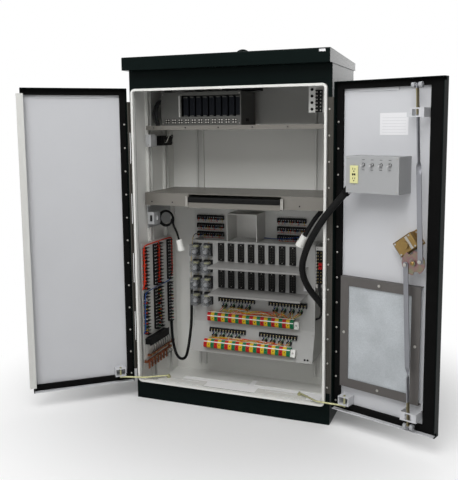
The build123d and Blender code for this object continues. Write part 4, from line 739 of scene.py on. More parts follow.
def block(width, length, height, edge=0.4):
    """A moulded block with softened edges."""
    pick(bar_blank(width, length, height), all_over)
    bpy.ops.mesh.bevel(offset=edge / 1000, segments=1, affect="EDGES")
    return shut()


def well(width, length, height, wall, depth):
    """A moulded block with a recess in its top."""
    pick(bar_blank(width, length, height), on_top)
    inset(wall)
    inset(min(width, length) * 0.04, -depth)
    return shut()


def ring(radius, height, bore, depth, sides=16):
    """A round bush with a bore."""
    pick(round_blank(radius, height, sides), on_top)
    inset(radius * 0.12, height * 0.15)
    inset(radius * 0.88 - bore)
    raise_face(-depth)
    return shut()


def stamped(name, shape, places, finish, body="cabinet"):
    """Copies a modelled shape to each place, joins the copies and lets them ride on a body."""
    clear_selection()
    for place in places:
        copy = shape.copy()
        copy.data = shape.data.copy()
        bpy.context.scene.collection.objects.link(copy)
        copy.matrix_world = place
        copy.select_set(True)
        bpy.context.view_layer.objects.active = copy
    bpy.data.objects.remove(shape)
    bpy.context.view_layer.update()
    if len(places) > 1:
        bpy.ops.object.join()
    bpy.ops.object.transform_apply(location=True, rotation=True, scale=True)
    piece = bpy.context.object
    piece.name = piece.data.name = name
    bpy.ops.object.shade_smooth_by_angle(angle=math.radians(35))
    return dressed(piece, finish, body)


def wires(name, routes, radius, finish):
    """Insulated wires of one colour, each route a list of points in millimetres."""
    paths = [[millimetres(*point) for point in route] for route in routes]
    return dressed(to_mesh(route_curve(name, paths, radius, steps=4, rounding=1)), finish, "cabinet")


def strands(path, count, spread, draw):
    """Routes of a bundle: one path repeated with small shifts."""
    return [[[c + draw.uniform(-spread, spread) for c in point] for point in path] for _ in range(count)]


def strip_poles(start, cells, pitch, shares):
    """Middles of the poles of a barrier strip whose cells each hold several poles."""
    room = (pitch - STRIP_FIN) / shares
    lefts = [start + pitch * cell + STRIP_FIN for cell in range(cells)]
    return [left + room * (k + 0.5) for left in lefts for k in range(shares)]


def strip_fins(start, cells, pitch, shares):
    """Places of the thin fins between the poles of one cell."""
    room = (pitch - STRIP_FIN) / shares
    lefts = [start + pitch * cell + STRIP_FIN for cell in range(cells)]
    return [left + room * k for left in lefts for k in range(1, shares)]


def plug_middles(lefts):
    """Middles of the flash plugs in one row of the load panel."""
    return [left + PLUG_PITCH * place for left in lefts for place in range(PLUGS_IN_GROUP)]


class CABINET_OT_cords(bpy.types.Operator):
    """The loom to the right door, the harness under the shelf and the cables on the left"""

    bl_idname = "cabinet.cords"
    bl_label = "Cords"

    def execute(self, context):
        self.door_loom(context.scene.cabinet_sizes.loom_radius)
        plugs = [nodes["harness_plugs"]]
        harness = ((395, -72, 952.5), (395, -72, 905), (345, -70, 848), (308, -67, 780))
        self.fixed_cord(
            "shelf_harness",
            harness,
            0.010,
            "harness_right",
            far_end="connector",
            stiffness="stiff",
            lay="hanging",
            with_pieces=plugs,
        )
        self.fixed_cord(
            "wall_cable_coil",
            self.coil_route(),
            0.005,
            "cable_coil",
            far_end="connector",
            stiffness="medium",
            lay="coiled",
            with_pieces=plugs,
        )
        panel = (
            (-297, 61, 500),
            (-297, 60, 400),
            (-298, 58, 310),
            (-299, 40, 235),
            (-303, 24, 178),
            (-318, 28, 126),
            (-352, 44, 108),
            (-388, 66, 118),
            (-412, 86, 160),
            (-424, 92, 220),
            (-425, 92, 287),
        )
        self.fixed_cord("panel_cable", panel, 0.007, far_end="object", stiffness="limp", lay="hanging")
        return {"FINISHED"}

    def door_loom(self, radius):
        route = (
            (527.7, -286.9, 992.2),
            (458, -267, 915),
            (398, -241, 830),
            (346, -201, 738),
            (315, -155, 645),
            (335, -115, 560),
            (388, -90, 490),
            (425.7, -75.6, 425),
            (425.7, -75.6, 355),
        )
        points = [millimetres(*point) for point in route]
        loom = route_curve("door_loom_sleeve", [points], radius)
        path = route_path(loom)
        loom = to_mesh(loom)
        loom.data.materials.append(finishes["sleeve"])
        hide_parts("door_loom")
        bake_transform(loom)

    def fixed_cord(self, name, route, radius, node=None, **facts):
        """A sleeved cord that stays in the cabinet, for the CAD node that it stands for, if any."""
        points = [millimetres(*point) for point in route]
        cord = route_curve(name, [points], radius)
        path = route_path(cord)
        cord.data.materials.append(finishes["sleeve"])
        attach(cord, "cabinet")
        if node:
            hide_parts(node)

    def coil_route(self):
        """Two turns, the first moving towards the wall, then the tail down to its plug."""
        x, y, z = -389, -19, 823
        turn_points = 14
        route = []
        for reach, start, advance in ((36.5, -5.5, 11.0), (34.5, 5.5, 0.0)):
            for step in range(turn_points):
                share = step / turn_points
                angle = -2 * math.pi * share
                depth = y + start + advance * share
                route.append((x + reach * math.cos(angle), depth, z + reach * math.sin(angle)))
        return route + [(-352, -10, 823), (-352, -19, 793), (-330, -19, 758), (-322, -19, 723)]


class CABINET_OT_hinge_hardware(bpy.types.Operator):
    """Screws of the hinge leaves, on the cabinet and on both doors"""

    bl_idname = "cabinet.hinge_hardware"
    bl_label = "Hinge hardware"

    def execute(self, context):
        radius = 1000 * context.scene.cabinet_sizes.screw_radius
        head, along, lift = 3.2, 16, -16.9
        heights = [165 + 105 * step for step in range(12)]
        leaf = [on_front(x, LEAF_FACE, z) for x in (-447.5, 447.5) for z in heights]
        stamped("hinge_leaf_screws", screw(radius, head), leaf, "zinc")
        middles = [z - 52 for z in heights]
        right = [on_right_door(along, z, lift) for z in middles]
        stamped("right_door_edge_screws", screw(radius, head), right, "zinc", "right_door")
        left = [on_left_door(along, z, lift) for z in middles]
        stamped("left_door_edge_screws", screw(radius, head), left, "zinc", "left_door")
        return {"FINISHED"}


class CABINET_OT_terminals(bpy.types.Operator):
    """Screws, fins, lugs and bare ends on every barrier strip"""

    bl_idname = "cabinet.terminals"
    bl_label = "Terminals"

    def execute(self, context):
        rear = [(left, top) for left in REAR_LEFTS for top in REAR_TOPS]
        wall = [(y, bottom) for y in WALL_YS for bottom in WALL_BOTTOMS]
        panel = [
            (left + 9 + 15 * pole, row[1]) for row in PANEL_ROWS for left in row[0] for pole in range(12)
        ]
        poles = [(x, top) for left, top in rear for x in strip_poles(left, *REAR_STRIP)]
        heads = [on_front(x, REAR_STRIP_FACE, top - 11) for x, top in poles]
        stamped("rear_terminal_screws", screw(2.1, 2.0, 8), heads, "chrome")
        heads = [on_panel(x, drop, 9) for x, drop in panel]
        heads += [on_front(x, 58.1, 549 + 15 * pole) for x in (337, 351) for pole in range(10)]
        stamped("panel_terminal_screws", screw(2.9, 2.2, 8), heads, "brass")
        heads = [
            on_wall(y + side, z, 9)
            for y, low in wall
            for z in strip_poles(low, *WALL_STRIP)
            for side in (7, 21)
        ]
        stamped("wall_terminal_screws", screw(3.2, 2.4, 8), heads, "chrome")
        fins = [on_front(x, 187.4, top - 11) for left, top in rear for x in strip_fins(left, *REAR_STRIP)]
        stamped("rear_strip_fins", block(1.6, 21.6, 8.8, 0.3), fins, "black")
        fins = [on_wall(y + 14, z, 8.8) for y, low in wall for z in strip_fins(low, *WALL_STRIP)]
        stamped("wall_strip_fins", block(27.6, 1.8, 13, 0.3), fins, "black")
        lugs = [on_panel(x, drop + 7.5, 9) for x, drop in panel]
        stamped("panel_terminal_lugs", block(3.6, 6, 1.0, 0.3), lugs, "zinc")
        ends = [[(x, 189, top - 1), (x, 188, top + 6), (x, 186, top + 9)] for x, top in poles]
        wires("rear_strip_bare_ends", ends, 0.0007, "zinc")
        heads = [on_front(x, -89.4, 1319 + 15 * pole) for x in (364, 380) for pole in range(6)]
        stamped("jack_strip_screws", screw(3.0, 2.2, 8), heads, "zinc")
        jacks = [on_front(341.5, -84.4, 1310 + 27.25 * (place + 0.5)) for place in range(4)]
        stamped("jack_bushes", ring(6.2, 2.4, 3.6, 3.0), jacks, "black")
        return {"FINISHED"}


class CABINET_OT_switch_bays(bpy.types.Operator):
    """Contacts of the plug-in sockets, relay works, plugs and the two field bars"""

    bl_idname = "cabinet.switch_bays"
    bl_label = "Switch bays"

    def execute(self, context):
        self.sockets()
        self.relays()
        self.plugs()
        self.field_bars()
        self.panel_fittings()
        return {"FINISHED"}

    def sockets(self):
        bays = [(-139 + 50.8 * place, middle) for middle in (660, 530) for place in range(8)]
        slots = [(side, -30 + 12 * row) for side in (-6, 6) for row in range(6)]
        contacts = [on_front(x + side, SOCKET_FACE, z + up) for x, z in bays for side, up in slots]
        stamped("socket_contacts", well(5, 7, 1.6, 0.8, 1.2), contacts, "contact")
        ends = [on_front(x, SOCKET_FACE, z + end) for x, z in bays for end in (-36.6, 36.6)]
        stamped("socket_screws", screw(2.4, 2.0, 8), ends, "zinc")

    def relays(self):
        relays = [(x, z) for x in (-262, -205) for z in (668, 588, 508, 428)]
        coils = [on_front(x - 3, RELAY_FACE, z - 8) for x, z in relays]
        stamped("relay_coils", ring(10, 26, 4, 3), coils, "card")
        arms = [on_front(x - 3, RELAY_FACE, z + 8) for x, z in relays]
        stamped("relay_armatures", well(24, 5, 32, 1.2, 2), arms, "zinc")
        stacks = [on_front(x + 2, RELAY_FACE, z + 18) for x, z in relays]
        stamped("relay_contact_stacks", block(26, 9, 24, 1), stacks, "ivory")
        clips = [on_front(x, 67.0, z + end) for x, z in relays for end in (-33.5, 33.5)]
        stamped("relay_terminal_screws", screw(3, 3, 8), clips, "brass")

    def plugs(self):
        plugs = [(x, row[3]) for row in PANEL_ROWS for x in plug_middles(row[2])]
        fronts = [on_panel(x, drop, 15.8) for x, drop in plugs]
        stamped("flash_plug_rims", ring(10.5, 2.4, 6.5, 2.2), fronts, "black")
        pins = ((-3.4, 1), (3.4, 1), (0, -4))
        keys = [on_panel(x + dx, drop + dy, 16) for x, drop in plugs for dx, dy in pins]
        stamped("flash_plug_pins", screw(2.0, 2.2, 6), keys, "brass")

    def field_bars(self):
        pitch, count, length, marker = 18, 24, 432, -7.5
        blocks = [(row[4] + pitch * (place + 0.5), row[5]) for row in PANEL_ROWS for place in range(count)]
        entries = [on_panel(x, drop + 5, BAR_FACE) for x, drop in blocks]
        stamped("field_bar_entries", ring(2.6, 1.0, 1.6, 0.8, 8), entries, "black")
        faces = [on_panel(row[4] + length / 2, row[5] + marker, BAR_FACE) for row in PANEL_ROWS]
        stamped("field_bar_markers", block(length - 1, 4.6, 1.6, 0.4), faces, "white")
        ticks = [on_panel(x + pitch / 2, drop + marker, BAR_FACE + 1.5) for x, drop in blocks]
        stamped("field_bar_ticks", block(0.9, 3.6, 0.3, 0.1), ticks, "ink")
        clamps = [on_panel(row[4] + length + 11, row[5] + 4, 26.8) for row in PANEL_ROWS]
        stamped("end_clamp_screws", screw(4.4, 2.6), clamps, "zinc")

    def panel_fittings(self):
        holes = [on_panel(x, 132, 0) for x in (286, 300)]
        stamped("panel_grommets", ring(4.6, 1.6, 2.8, 1.4), holes, "black")
        stamped("indicator_block", well(26, 38, 9, 2.5, 2), [on_front(283, LOAD_FACE, 520)], "card")
        stamped("indicator_lamp", ring(3.6, 4, 1.2, 0.6), [on_front(278, 60.3, 530)], "red")
        fuses = [on_front(352, 58, z) for z in (618, 634)]
        stamped("fuse_carriers", well(15, 12, 22, 1.6, 2), fuses, "red")
        edges = [on_front(x, LOAD_FACE, z) for x in (332, 432) for z in (527, 702)]
        edges += [on_panel(x, drop, 0) for x in (-281, 313) for drop in (-395, -20, 20, 138)]
        stamped("panel_edge_screws", screw(3.4, 2.4, 8), edges, "zinc")


class CABINET_OT_rack_hardware(bpy.types.Operator):
    """Card fronts, ports and divider of the card rack, drawer brackets and wall units"""

    bl_idname = "cabinet.rack_hardware"
    bl_label = "Rack and shelf hardware"

    def execute(self, context):
        self.card_rack()
        self.shelf_lips()
        self.wall_units()
        return {"FINISHED"}

    def card_rack(self):
        cards = [-131 + 32 * (place - 4) for place in range(9)]
        fronts = [on_front(x, -44.9, 1346) for x in cards]
        stamped("card_fronts", well(25, 88, 3, 1.4, 0.8), fronts, "board")
        levers = [on_front(x, -47.7, z) for x in cards for z in (1388, 1304)]
        stamped("card_levers", block(18, 5, 7, 1), levers, "rack")
        ports = [-182.5 + 33 * (place - 5) for place in range(11)]
        shells = [on_front(x, -58.4, 1280) for x in ports]
        stamped("port_shells", well(23, 21, 2.4, 1.4, 1.0), shells, "black")
        pins = [on_front(x + dx, -59.4, 1280 + dz) for x in ports for dx in (-6, 6) for dz in (-5.5, 5.5)]
        stamped("port_contacts", well(7, 6, 2.0, 1.4, 0.8), pins, "zinc")
        stamped("rack_divider", well(6, 96, 5, 1.5, 1), [on_front(-285, RACK_FACE, 1347)], "sheet")
        corners = [on_front(x, RACK_FACE, z) for x in (-371, 6) for z in (1270, 1402)]
        stamped("rack_screws", screw(3.2, 2.4, 8), corners, "zinc")
        stamped("rack_side_port", well(26, 14, 2.4, 2, 1.6), [on_side(14, 20, 1284)], "black")
        cables = [
            [(-380, -20, 1388), (-402, -28, 1382), (-424, -44, 1345), (-424, -52, 1300), (-408, -46, 1258)],
            [(-380, -32, 1374), (-398, -38, 1370), (-412, -48, 1338), (-410, -54, 1298), (-396, -50, 1258)],
        ]
        wires("rack_cables", cables, 0.006, "wire_black")

    def shelf_lips(self):
        stays = [on_front(x, -133.1, 921) for x in (-224, 224)]
        stamped("drawer_brackets", well(11, 46, 5, 2.2, 3), stays, "zinc")
        pegs = [on_front(x, -135.1, z) for x in (-224, 224) for z in (904, 921, 938)]
        stamped("drawer_bracket_screws", screw(2.6, 3, 8), pegs, "zinc")
        lips = [on_front(-400 + 160 * place, -99.9, 1251.5) for place in range(6)]
        lips += [on_front(x, -124.9, 914) for x in (-405, -300, 300, 415)]
        stamped("shelf_lip_rivets", ring(3.4, 0.9, 1.8, 0.7, 10), lips, "black")

    def wall_units(self):
        stamped("breaker_rocker", well(10, 28, 3, 1.6, 1.0), [on_front(-420, -106.3, 833)], "black")
        box = [on_front(-426, -106.3, z) for z in (1174, 1212)]
        stamped("outlet_box_screws", screw(2.6, 2, 8), box, "zinc")
        units = [on_side(-404, y, 1191) for y in (10, 44, 78)]
        stamped("surge_unit_terminals", ring(7, 5, 3, 2), units, "hinge")
        bars = [on_wall(y + 38 * step, z, 16) for y, z in ((-126, 181), (-158, 159)) for step in range(7)]
        stamped("bus_bar_screws", screw(3.4, 3, 8), bars, "brass")


class CABINET_OT_door_hardware(bpy.types.Operator):
    """Fastenings of the latch, lock case, filter frame and switch box, and the blank card"""

    bl_idname = "cabinet.door_hardware"
    bl_label = "Door hardware"

    def execute(self, context):
        self.latch()
        edges = ((213, 631.5), (213, 206.5), (58.5, 419), (367.5, 419))
        thumbs = [on_right_door(along, z, -6.9) for along, z in edges]
        stamped("filter_screws", nut(6, 4, 3), thumbs, "zinc", "right_door")
        self.switch_box()
        card = [on_right_door(249.5, 1258.5, -30.7)]
        stamped("blank_card", block(117, 83, 0.6, 0.2), card, "card", "right_door")
        rules = [on_right_door(249.5, 1282 - 11 * row, -30.2) for row in range(6)]
        stamped("card_rules", block(98, 0.7, 0.2, 0.05), rules, "ink", "right_door")
        stamped("roof_tag", block(26, 10, 1.2, 0.4), [on_front(429.5, -270.8, 1545)], "card")
        return {"FINISHED"}

    def latch(self):
        pins = [on_right_door(391.7, 753.8, CAM_FACE), on_right_door(334.3, 736.2, CAM_FACE)]
        stamped("crank_pin_nuts", nut(7.5, 4, 3), pins, "zinc", "latch")
        stamped("spindle_cap", screw(7.5, 4, 12), [on_right_door(363, 745, CAM_FACE)], "gold", "latch")
        turn = Matrix.Rotation(math.radians(37), 4, "Z")
        case = on_right_door(326, 808, 12.0) @ turn
        corners = [case @ Matrix.Translation(millimetres(x, y, 0)) for x in (-34, 34) for y in (-23, 23)]
        stamped("lock_case_screws", screw(4, 3.2), corners, "zinc", "right_door")
        strap = [case @ Matrix.Translation(millimetres(20, 0, 0))]
        stamped("lock_case_strap", well(10, 52, 2.2, 1.6, 0.8), strap, "zinc", "right_door")
        plate = on_right_door(326, 808, -27.8) @ turn
        feet = [plate @ Matrix.Translation(millimetres(x, y, 0)) for x in (-48.5, 48.5) for y in (-22, 22)]
        stamped("lock_plate_screws", screw(3.6, 3), feet, "zinc", "right_door")

    def switch_box(self):
        outlet, halves = 140, (1052, 1088)
        slots = [on_right_door(outlet + side, z + 3, OUTLET_FACE) for z in halves for side in (-4.5, 4.5)]
        stamped("outlet_slots", well(2.2, 7, 0.8, 0.4, 0.3), slots, "black", "right_door")
        earths = [on_right_door(outlet, z - 6, OUTLET_FACE) for z in halves]
        stamped("outlet_earths", ring(2.6, 0.8, 1.4, 0.5, 10), earths, "black", "right_door")
        keys = [on_right_door(outlet + side, 1070, OUTLET_FACE) for side in (-4, 4)]
        stamped("outlet_keys", block(6, 8, 1.6, 0.4), keys, "black", "right_door")
        frames = [on_right_door(outlet, z, BOX_FACE) for z in (1109, 1031)]
        stamped("outlet_screws", screw(2.6, 2), frames, "zinc", "right_door")
        toggles = [178 + 36.5 * place for place in range(4)]
        bushes = [on_right_door(along, 1108, BOX_FACE - 0.2) for along in toggles]
        stamped("toggle_bushes", ring(7.2, 2.4, 5.0, 1.8), bushes, "contact", "right_door")
        marks = [on_right_door(along, z, BOX_FACE - 0.1) for along in toggles for z in (1126, 1088)]
        stamped("switch_marks", block(11, 1.6, 0.3, 0.1), marks, "black", "right_door")
        edges = [on_right_door(along, z, BOX_FACE - 0.1) for z in (1010, 1131) for along in (112, 316)]
        stamped("switch_box_screws", screw(2.8, 2), edges, "zinc", "right_door")


class CABINET_OT_filter_pad(bpy.types.Operator):
    """The blown fibre mat behind the filter frame"""

    bl_idname = "cabinet.filter_pad"
    bl_label = "Filter pad"

    def execute(self, context):
        pick(bar_blank(346, 453, 21), all_over)
        bpy.ops.mesh.bevel(offset=0.004, segments=2, affect="EDGES")
        bpy.ops.mesh.select_all(action="SELECT")
        bpy.ops.mesh.subdivide(number_cuts=30)
        piece = shut()
        clumps = bpy.data.textures.new("fibre_clumps", "CLOUDS")
        clumps.noise_scale = 0.011
        clumps.noise_depth = 3
        bpy.ops.object.modifier_add(type="DISPLACE")
        relief = piece.modifiers[-1]
        relief.texture = clumps
        relief.texture_coords = "LOCAL"
        relief.strength = 0.004
        relief.mid_level = 1.0
        bpy.ops.object.modifier_apply(modifier=relief.name)
        pad = stamped("filter_fibre_pad", piece, [on_right_door(208.5, 419, -30.2)], "fibre", "right_door")
        bpy.ops.object.shade_smooth()
        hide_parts("filter_pad")
        return {"FINISHED"}


class CABINET_OT_wiring(bpy.types.Operator):
    """Insulated wires between the strips, plugs, field bars and panels"""

    bl_idname = "cabinet.wiring"
    bl_label = "Wiring"

    def execute(self, context):
        draw = random.Random(7)
        routes = {colour: [] for colour in INSULATION}
        for row in PANEL_ROWS:
            self.bay(routes, draw, row)
        self.wall(routes, draw)
        self.rear(routes, draw)
        for colour, runs in routes.items():
            wires("wiring_" + colour, runs, context.scene.cabinet_sizes.wire_radius, "wire_" + colour)
        return {"FINISHED"}

    def bay(self, routes, draw, row):
        """One row of the load panel: strip to plugs, plugs to field bar, and loose wires above the bar."""
        uppers = ((-9, "white"), (-3, "blue"), (4, "white"), (9, "green"))
        lowers = ((-10, "yellow"), (-5, "red"), (1, "white"), (6, "green"), (11, "yellow"))
        loose = ("red", "yellow", "red", "yellow", "white")
        _, strip, plugs, plug, bar_left, bar = row
        for x in plug_middles(plugs):
            for step, colour in uppers:
                routes[colour].append(
                    [
                        panel_point(x + 1.6 * step, strip + 10, 10),
                        panel_point(x + 1.5 * step + draw.uniform(-2, 2), (strip + plug) / 2, 19),
                        panel_point(x + 0.7 * step, plug - 6, 18),
                    ]
                )
            for step, colour in lowers:
                reach = min(draw.uniform(-24, 24), bar_left + 426 - x)
                rise = draw.uniform(24, 34)
                routes[colour].append(
                    [
                        panel_point(x + 0.6 * step, plug + 4, 18),
                        panel_point(x + step + 0.3 * reach, plug + 13, rise),
                        panel_point(x + reach, bar - 29, rise - 4),
                        panel_point(x + reach, bar - 20, 14),
                    ]
                )
        for count in range(15):
            start = draw.uniform(plugs[0] - 20, plugs[0] + 150)
            span = min(draw.uniform(130, 260), bar_left + 420 - start)
            middle = [
                panel_point(start + span * share / 5, draw.uniform(plug + 2, bar - 24), draw.uniform(19, 30))
                for share in range(6)
            ]
            ends = [panel_point(x, bar - 19, 12) for x in (start, start + span)]
            routes[loose[count % len(loose)]].append([ends[0], *middle, ends[1]])

    def wall(self, routes, draw):
        """The combs beside the wall strips, and a short wire from each pole into its comb."""
        comb = [(-439, -175, 506), (-426, -175, 518), (-426, -175, 610), (-426, -175, 704), (-425, -164, 714)]
        comb += [(-425, -40, 714), (-425, 96, 712), (-425, 113, 704), (-426, 113, 610), (-426, 113, 518)]
        routes["red"] += strands(comb + [(-439, 113, 506)], 11, 3.2, draw)
        spine = [(-425, -34, 714), (-421, -33, 690), (-421, -34, 600), (-424, -34, 516), (-439, -34, 504)]
        routes["red"] += strands(spine, 5, 2.2, draw)
        cross = [(-439, 113, 500), (-426, 108, 501), (-424, 50, 498), (-423, -60, 496), (-424, -150, 494)]
        cross += [(-425, -176, 486), (-425, -176, 400), (-427, -175, 304), (-439, -175, 292)]
        routes["blue"] += strands(cross, 5, 2.2, draw)
        lower = ("red", "yellow", "green", "red", "white", "black")
        for column, y in enumerate(WALL_YS):
            edge, way = (y + 3, -1) if column % 2 == 0 else (y + 25, 1)
            for bottom in WALL_BOTTOMS:
                for count, z in enumerate(strip_poles(bottom, *WALL_STRIP)):
                    colour = "red" if bottom == WALL_BOTTOMS[-1] else lower[(count + 2 * column) % len(lower)]
                    shift = draw.uniform(-3, 3)
                    routes[colour].append(
                        [
                            (-426.6, edge, z),
                            (-417 + draw.uniform(0, 3), edge + 5 * way, z + shift),
                            (-424, edge + 8 * way, z + 2 * shift),
                            (-438, edge + 10 * way, z + 2 * shift),
                        ]
                    )

    def rear(self, routes, draw):
        """Wires of the rear strips, and the bundles round the panel's edges, surge units and bus bars."""
        order = ("red", "white", "red", "blue", "white", "yellow")
        for row, top in enumerate(REAR_TOPS):
            for left in REAR_LEFTS:
                for pole, x in enumerate(strip_poles(left, *REAR_STRIP)):
                    shift = draw.uniform(-4, 4)
                    routes[order[(pole + row) % len(order)]].append(
                        [(x, 187, top - 16), (x + shift, 178, top - 25), (x + 2 * shift, 189, top - 32)]
                    )
                run = [(left + 47 * step, 188, top - 31) for step in range(4)]
                routes["white"] += strands(run, 2, 1.6, draw)
                routes["red"] += strands(run, 1, 1.6, draw)
        edge = [(-302, 186, 722), (-316, 160, 730), (-308, 112, 718), (-298, 80, 690), (-297, 62, 640)]
        edge += [(-297, 61, 560), (-297, 61, 480)]
        for colour, count in (("yellow", 2), ("blue", 2), ("white", 1)):
            routes[colour] += strands(edge, count, 1.4, draw)
        loop = [(-407, 44, 1206), (-388, 30, 1238), (-372, 8, 1226), (-374, -8, 1196)]
        loop += [(-392, 4, 1180), (-407, 18, 1184)]
        routes["white"] += strands(loop, 2, 3.0, draw)
        loop = [(-407, 74, 1200), (-386, 62, 1222), (-372, 46, 1208), (-390, 40, 1176), (-407, 40, 1182)]
        routes["black"] += strands(loop, 3, 3.0, draw)
        right = [(38, 184, 718), (90, 180, 716), (150, 180, 717), (212, 182, 730)]
        routes["blue"] += strands(right, 5, 2.0, draw)
        upper = ((-428, 0, 182), (-414, 6, 196), (-414, 14, 214), (-424, 18, 232), (-438, 18, 240))
        routes["black"] += [[(x, y + side, z) for x, side, z in upper] for y in range(-130, 40, 24)]
        trunk = [(344, 58, 546), (346, 46, 520), (354, 36, 470), (358, 42, 415), (346, 68, 380)]
        trunk += [(330, 86, 366), (306, 73, 362)]
        wires("panel_edge_trunk", strands(trunk, 5, 3.5, draw), 0.0036, "wire_black")
        lower = ((-428, 0, 158), (-412, 5, 150), (-412, 12, 138), (-425, 16, 131), (-438, 16, 128))
        routes["black"] += [[(x, y + side, z) for x, side, z in lower] for y in range(-150, 70, 26)]


# Soft lamps: place, aim, size in metres and power in watts
LAMPS = {
    "overhead_softbox": ((0.3, -2.5, 3.5), (0.1, -0.2, 0.8), 2.4, 98.0),
    "front_softbox": ((0.8, -4.4, 1.8), (0.0, 0.0, 0.8), 2.6, 18.0),
    "left_softbox": ((-3.0, -2.6, 2.4), (0.1, 0.0, 0.8), 2.2, 18.0),
    "rear_softbox": ((0.4, 4.0, 3.0), (0.0, 0.2, 0.8), 3.0, 70.0),
}
SKY_LIGHT = 0.14

# Camera: place in millimetres, turn, tilt and roll in degrees, lens and sensor in millimetres
CAMERA_PLACE = (1069.2, -2911.6, 1252.9)
CAMERA_TURN = 21.11
CAMERA_TILT = -7.35
CAMERA_ROLL = -0.54
CAMERA_LENS = 51.05
CAMERA_SENSOR = 36.0
CAMERA_SHIFT = (-0.0071, -0.0527)


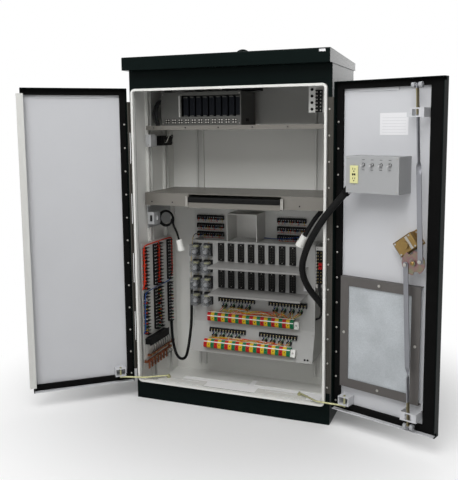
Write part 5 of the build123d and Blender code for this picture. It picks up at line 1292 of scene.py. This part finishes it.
class CABINET_OT_stage(bpy.types.Operator):
    """Floor, soft light and the camera at the photograph's viewing angle"""

    bl_idname = "cabinet.stage"
    bl_label = "Stage"

    def execute(self, context):
        self.floor()
        self.sky(context.scene)
        self.lamps(context.scene)
        self.camera(context.scene)
        return {"FINISHED"}

    def floor(self):
        """A pale floor that keeps the shadow near the cabinet and fades to white further out."""
        clear_selection()
        bpy.ops.mesh.primitive_circle_add(vertices=64, radius=9.0, fill_type="NGON")
        floor = bpy.context.object
        floor.name = "studio_floor"
        material, tree, shader, place = start_material("pale_floor")
        shader.inputs["Base Color"].default_value = opaque(linear("F4F4F4"))
        shader.inputs["Roughness"].default_value = 0.9
        away = add(tree, "ShaderNodeVectorMath", {0: place}, operation="LENGTH").outputs["Value"]
        fade = add(
            tree,
            "ShaderNodeMapRange",
            {"Value": away, "From Min": 0.5, "From Max": 1.45},
            interpolation_type="SMOOTHSTEP",
        ).outputs["Result"]
        rays = add(tree, "ShaderNodeLightPath", {}).outputs
        seen = {0: rays["Is Camera Ray"], 1: rays["Is Glossy Ray"]}
        direct = add(tree, "ShaderNodeMath", seen, operation="MAXIMUM").outputs[0]
        far = add(tree, "ShaderNodeMath", {0: fade, 1: direct}, operation="MULTIPLY").outputs[0]
        white = add(tree, "ShaderNodeEmission", {"Color": (1, 1, 1, 1), "Strength": 1.0}).outputs[0]
        mixed = add(tree, "ShaderNodeMixShader", {0: far, 1: shader.outputs["BSDF"], 2: white}).outputs[0]
        tree.links.new(mixed, tree.nodes["Material Output"].inputs["Surface"])
        floor.data.materials.append(material)

    def sky(self, scene):
        """White where it is seen, reflected or looked through to, and dim as a light."""
        world = bpy.data.worlds.new("studio_world")
        world.use_nodes = True
        tree = world.node_tree
        tree.nodes.clear()
        rays = add(tree, "ShaderNodeLightPath", {}).outputs
        seen = {0: rays["Is Camera Ray"], 1: rays["Is Glossy Ray"]}
        direct = add(tree, "ShaderNodeMath", seen, operation="MAXIMUM").outputs[0]
        through = {0: direct, 1: rays["Is Transmission Ray"]}
        shown = add(tree, "ShaderNodeMath", through, operation="MAXIMUM").outputs[0]
        strength = add(tree, "ShaderNodeMix", {"Factor": shown, "A": SKY_LIGHT, "B": 1.0}).outputs["Result"]
        sky = add(tree, "ShaderNodeBackground", {"Color": (1, 1, 1, 1), "Strength": strength})
        add(tree, "ShaderNodeOutputWorld", {"Surface": sky.outputs[0]})
        scene.world = world

    def lamps(self, scene):
        for name, (place, aim, size, power) in LAMPS.items():
            lamp = bpy.data.lights.new(name, "AREA")
            lamp.size = size
            lamp.energy = power
            holder = bpy.data.objects.new(name, lamp)
            scene.collection.objects.link(holder)
            holder.location = place
            holder.rotation_euler = (Vector(aim) - Vector(place)).to_track_quat("-Z", "Y").to_euler()

    def camera(self, scene):
        data = bpy.data.cameras.new("photo_camera")
        data.sensor_width = CAMERA_SENSOR
        data.lens = CAMERA_LENS
        data.shift_x, data.shift_y = CAMERA_SHIFT
        data.clip_end = 50.0
        camera = bpy.data.objects.new("photo_camera", data)
        scene.collection.objects.link(camera)
        turn = Matrix.Rotation(math.radians(CAMERA_TURN), 4, "Z")
        tilt = Matrix.Rotation(math.radians(90 + CAMERA_TILT), 4, "X")
        roll = Matrix.Rotation(math.radians(CAMERA_ROLL), 4, "Z")
        camera.matrix_world = Matrix.Translation(millimetres(*CAMERA_PLACE)) @ turn @ tilt @ roll
        scene.camera = camera
        scene.view_settings.view_transform = "Standard"


class CABINET_PT_panel(bpy.types.Panel):
    """Lists the steps that dress the cabinet"""

    bl_idname = "CABINET_PT_panel"
    bl_label = "Cabinet"
    bl_space_type = "VIEW_3D"
    bl_region_type = "UI"
    bl_category = "Cabinet"

    def draw(self, context):
        for step in steps:
            self.layout.operator(step.bl_idname)
        for group in (context.scene.cabinet_colours, context.scene.cabinet_sizes):
            for name in group.bl_rna.properties.keys():
                if name not in ("rna_type", "name"):
                    self.layout.prop(group, name)


steps = (
    CABINET_OT_finishes,
    CABINET_OT_cords,
    CABINET_OT_hinge_hardware,
    CABINET_OT_terminals,
    CABINET_OT_switch_bays,
    CABINET_OT_rack_hardware,
    CABINET_OT_door_hardware,
    CABINET_OT_filter_pad,
    CABINET_OT_wiring,
    CABINET_OT_stage,
)
classes = (CabinetColours, CabinetSizes, *steps, CABINET_PT_panel)


def register():
    for made in classes:
        bpy.utils.register_class(made)
    bpy.types.Scene.cabinet_colours = PointerProperty(type=CabinetColours)
    bpy.types.Scene.cabinet_sizes = PointerProperty(type=CabinetSizes)


def unregister():
    del bpy.types.Scene.cabinet_sizes
    del bpy.types.Scene.cabinet_colours
    for made in reversed(classes):
        bpy.utils.unregister_class(made)


def main():
    register()
    bpy.ops.cabinet.finishes()
    bpy.ops.cabinet.cords()
    bpy.ops.cabinet.hinge_hardware()
    bpy.ops.cabinet.terminals()
    bpy.ops.cabinet.switch_bays()
    bpy.ops.cabinet.rack_hardware()
    bpy.ops.cabinet.door_hardware()
    bpy.ops.cabinet.filter_pad()
    bpy.ops.cabinet.wiring()
    bpy.ops.cabinet.stage()


if __name__ == "__main__":
    main()
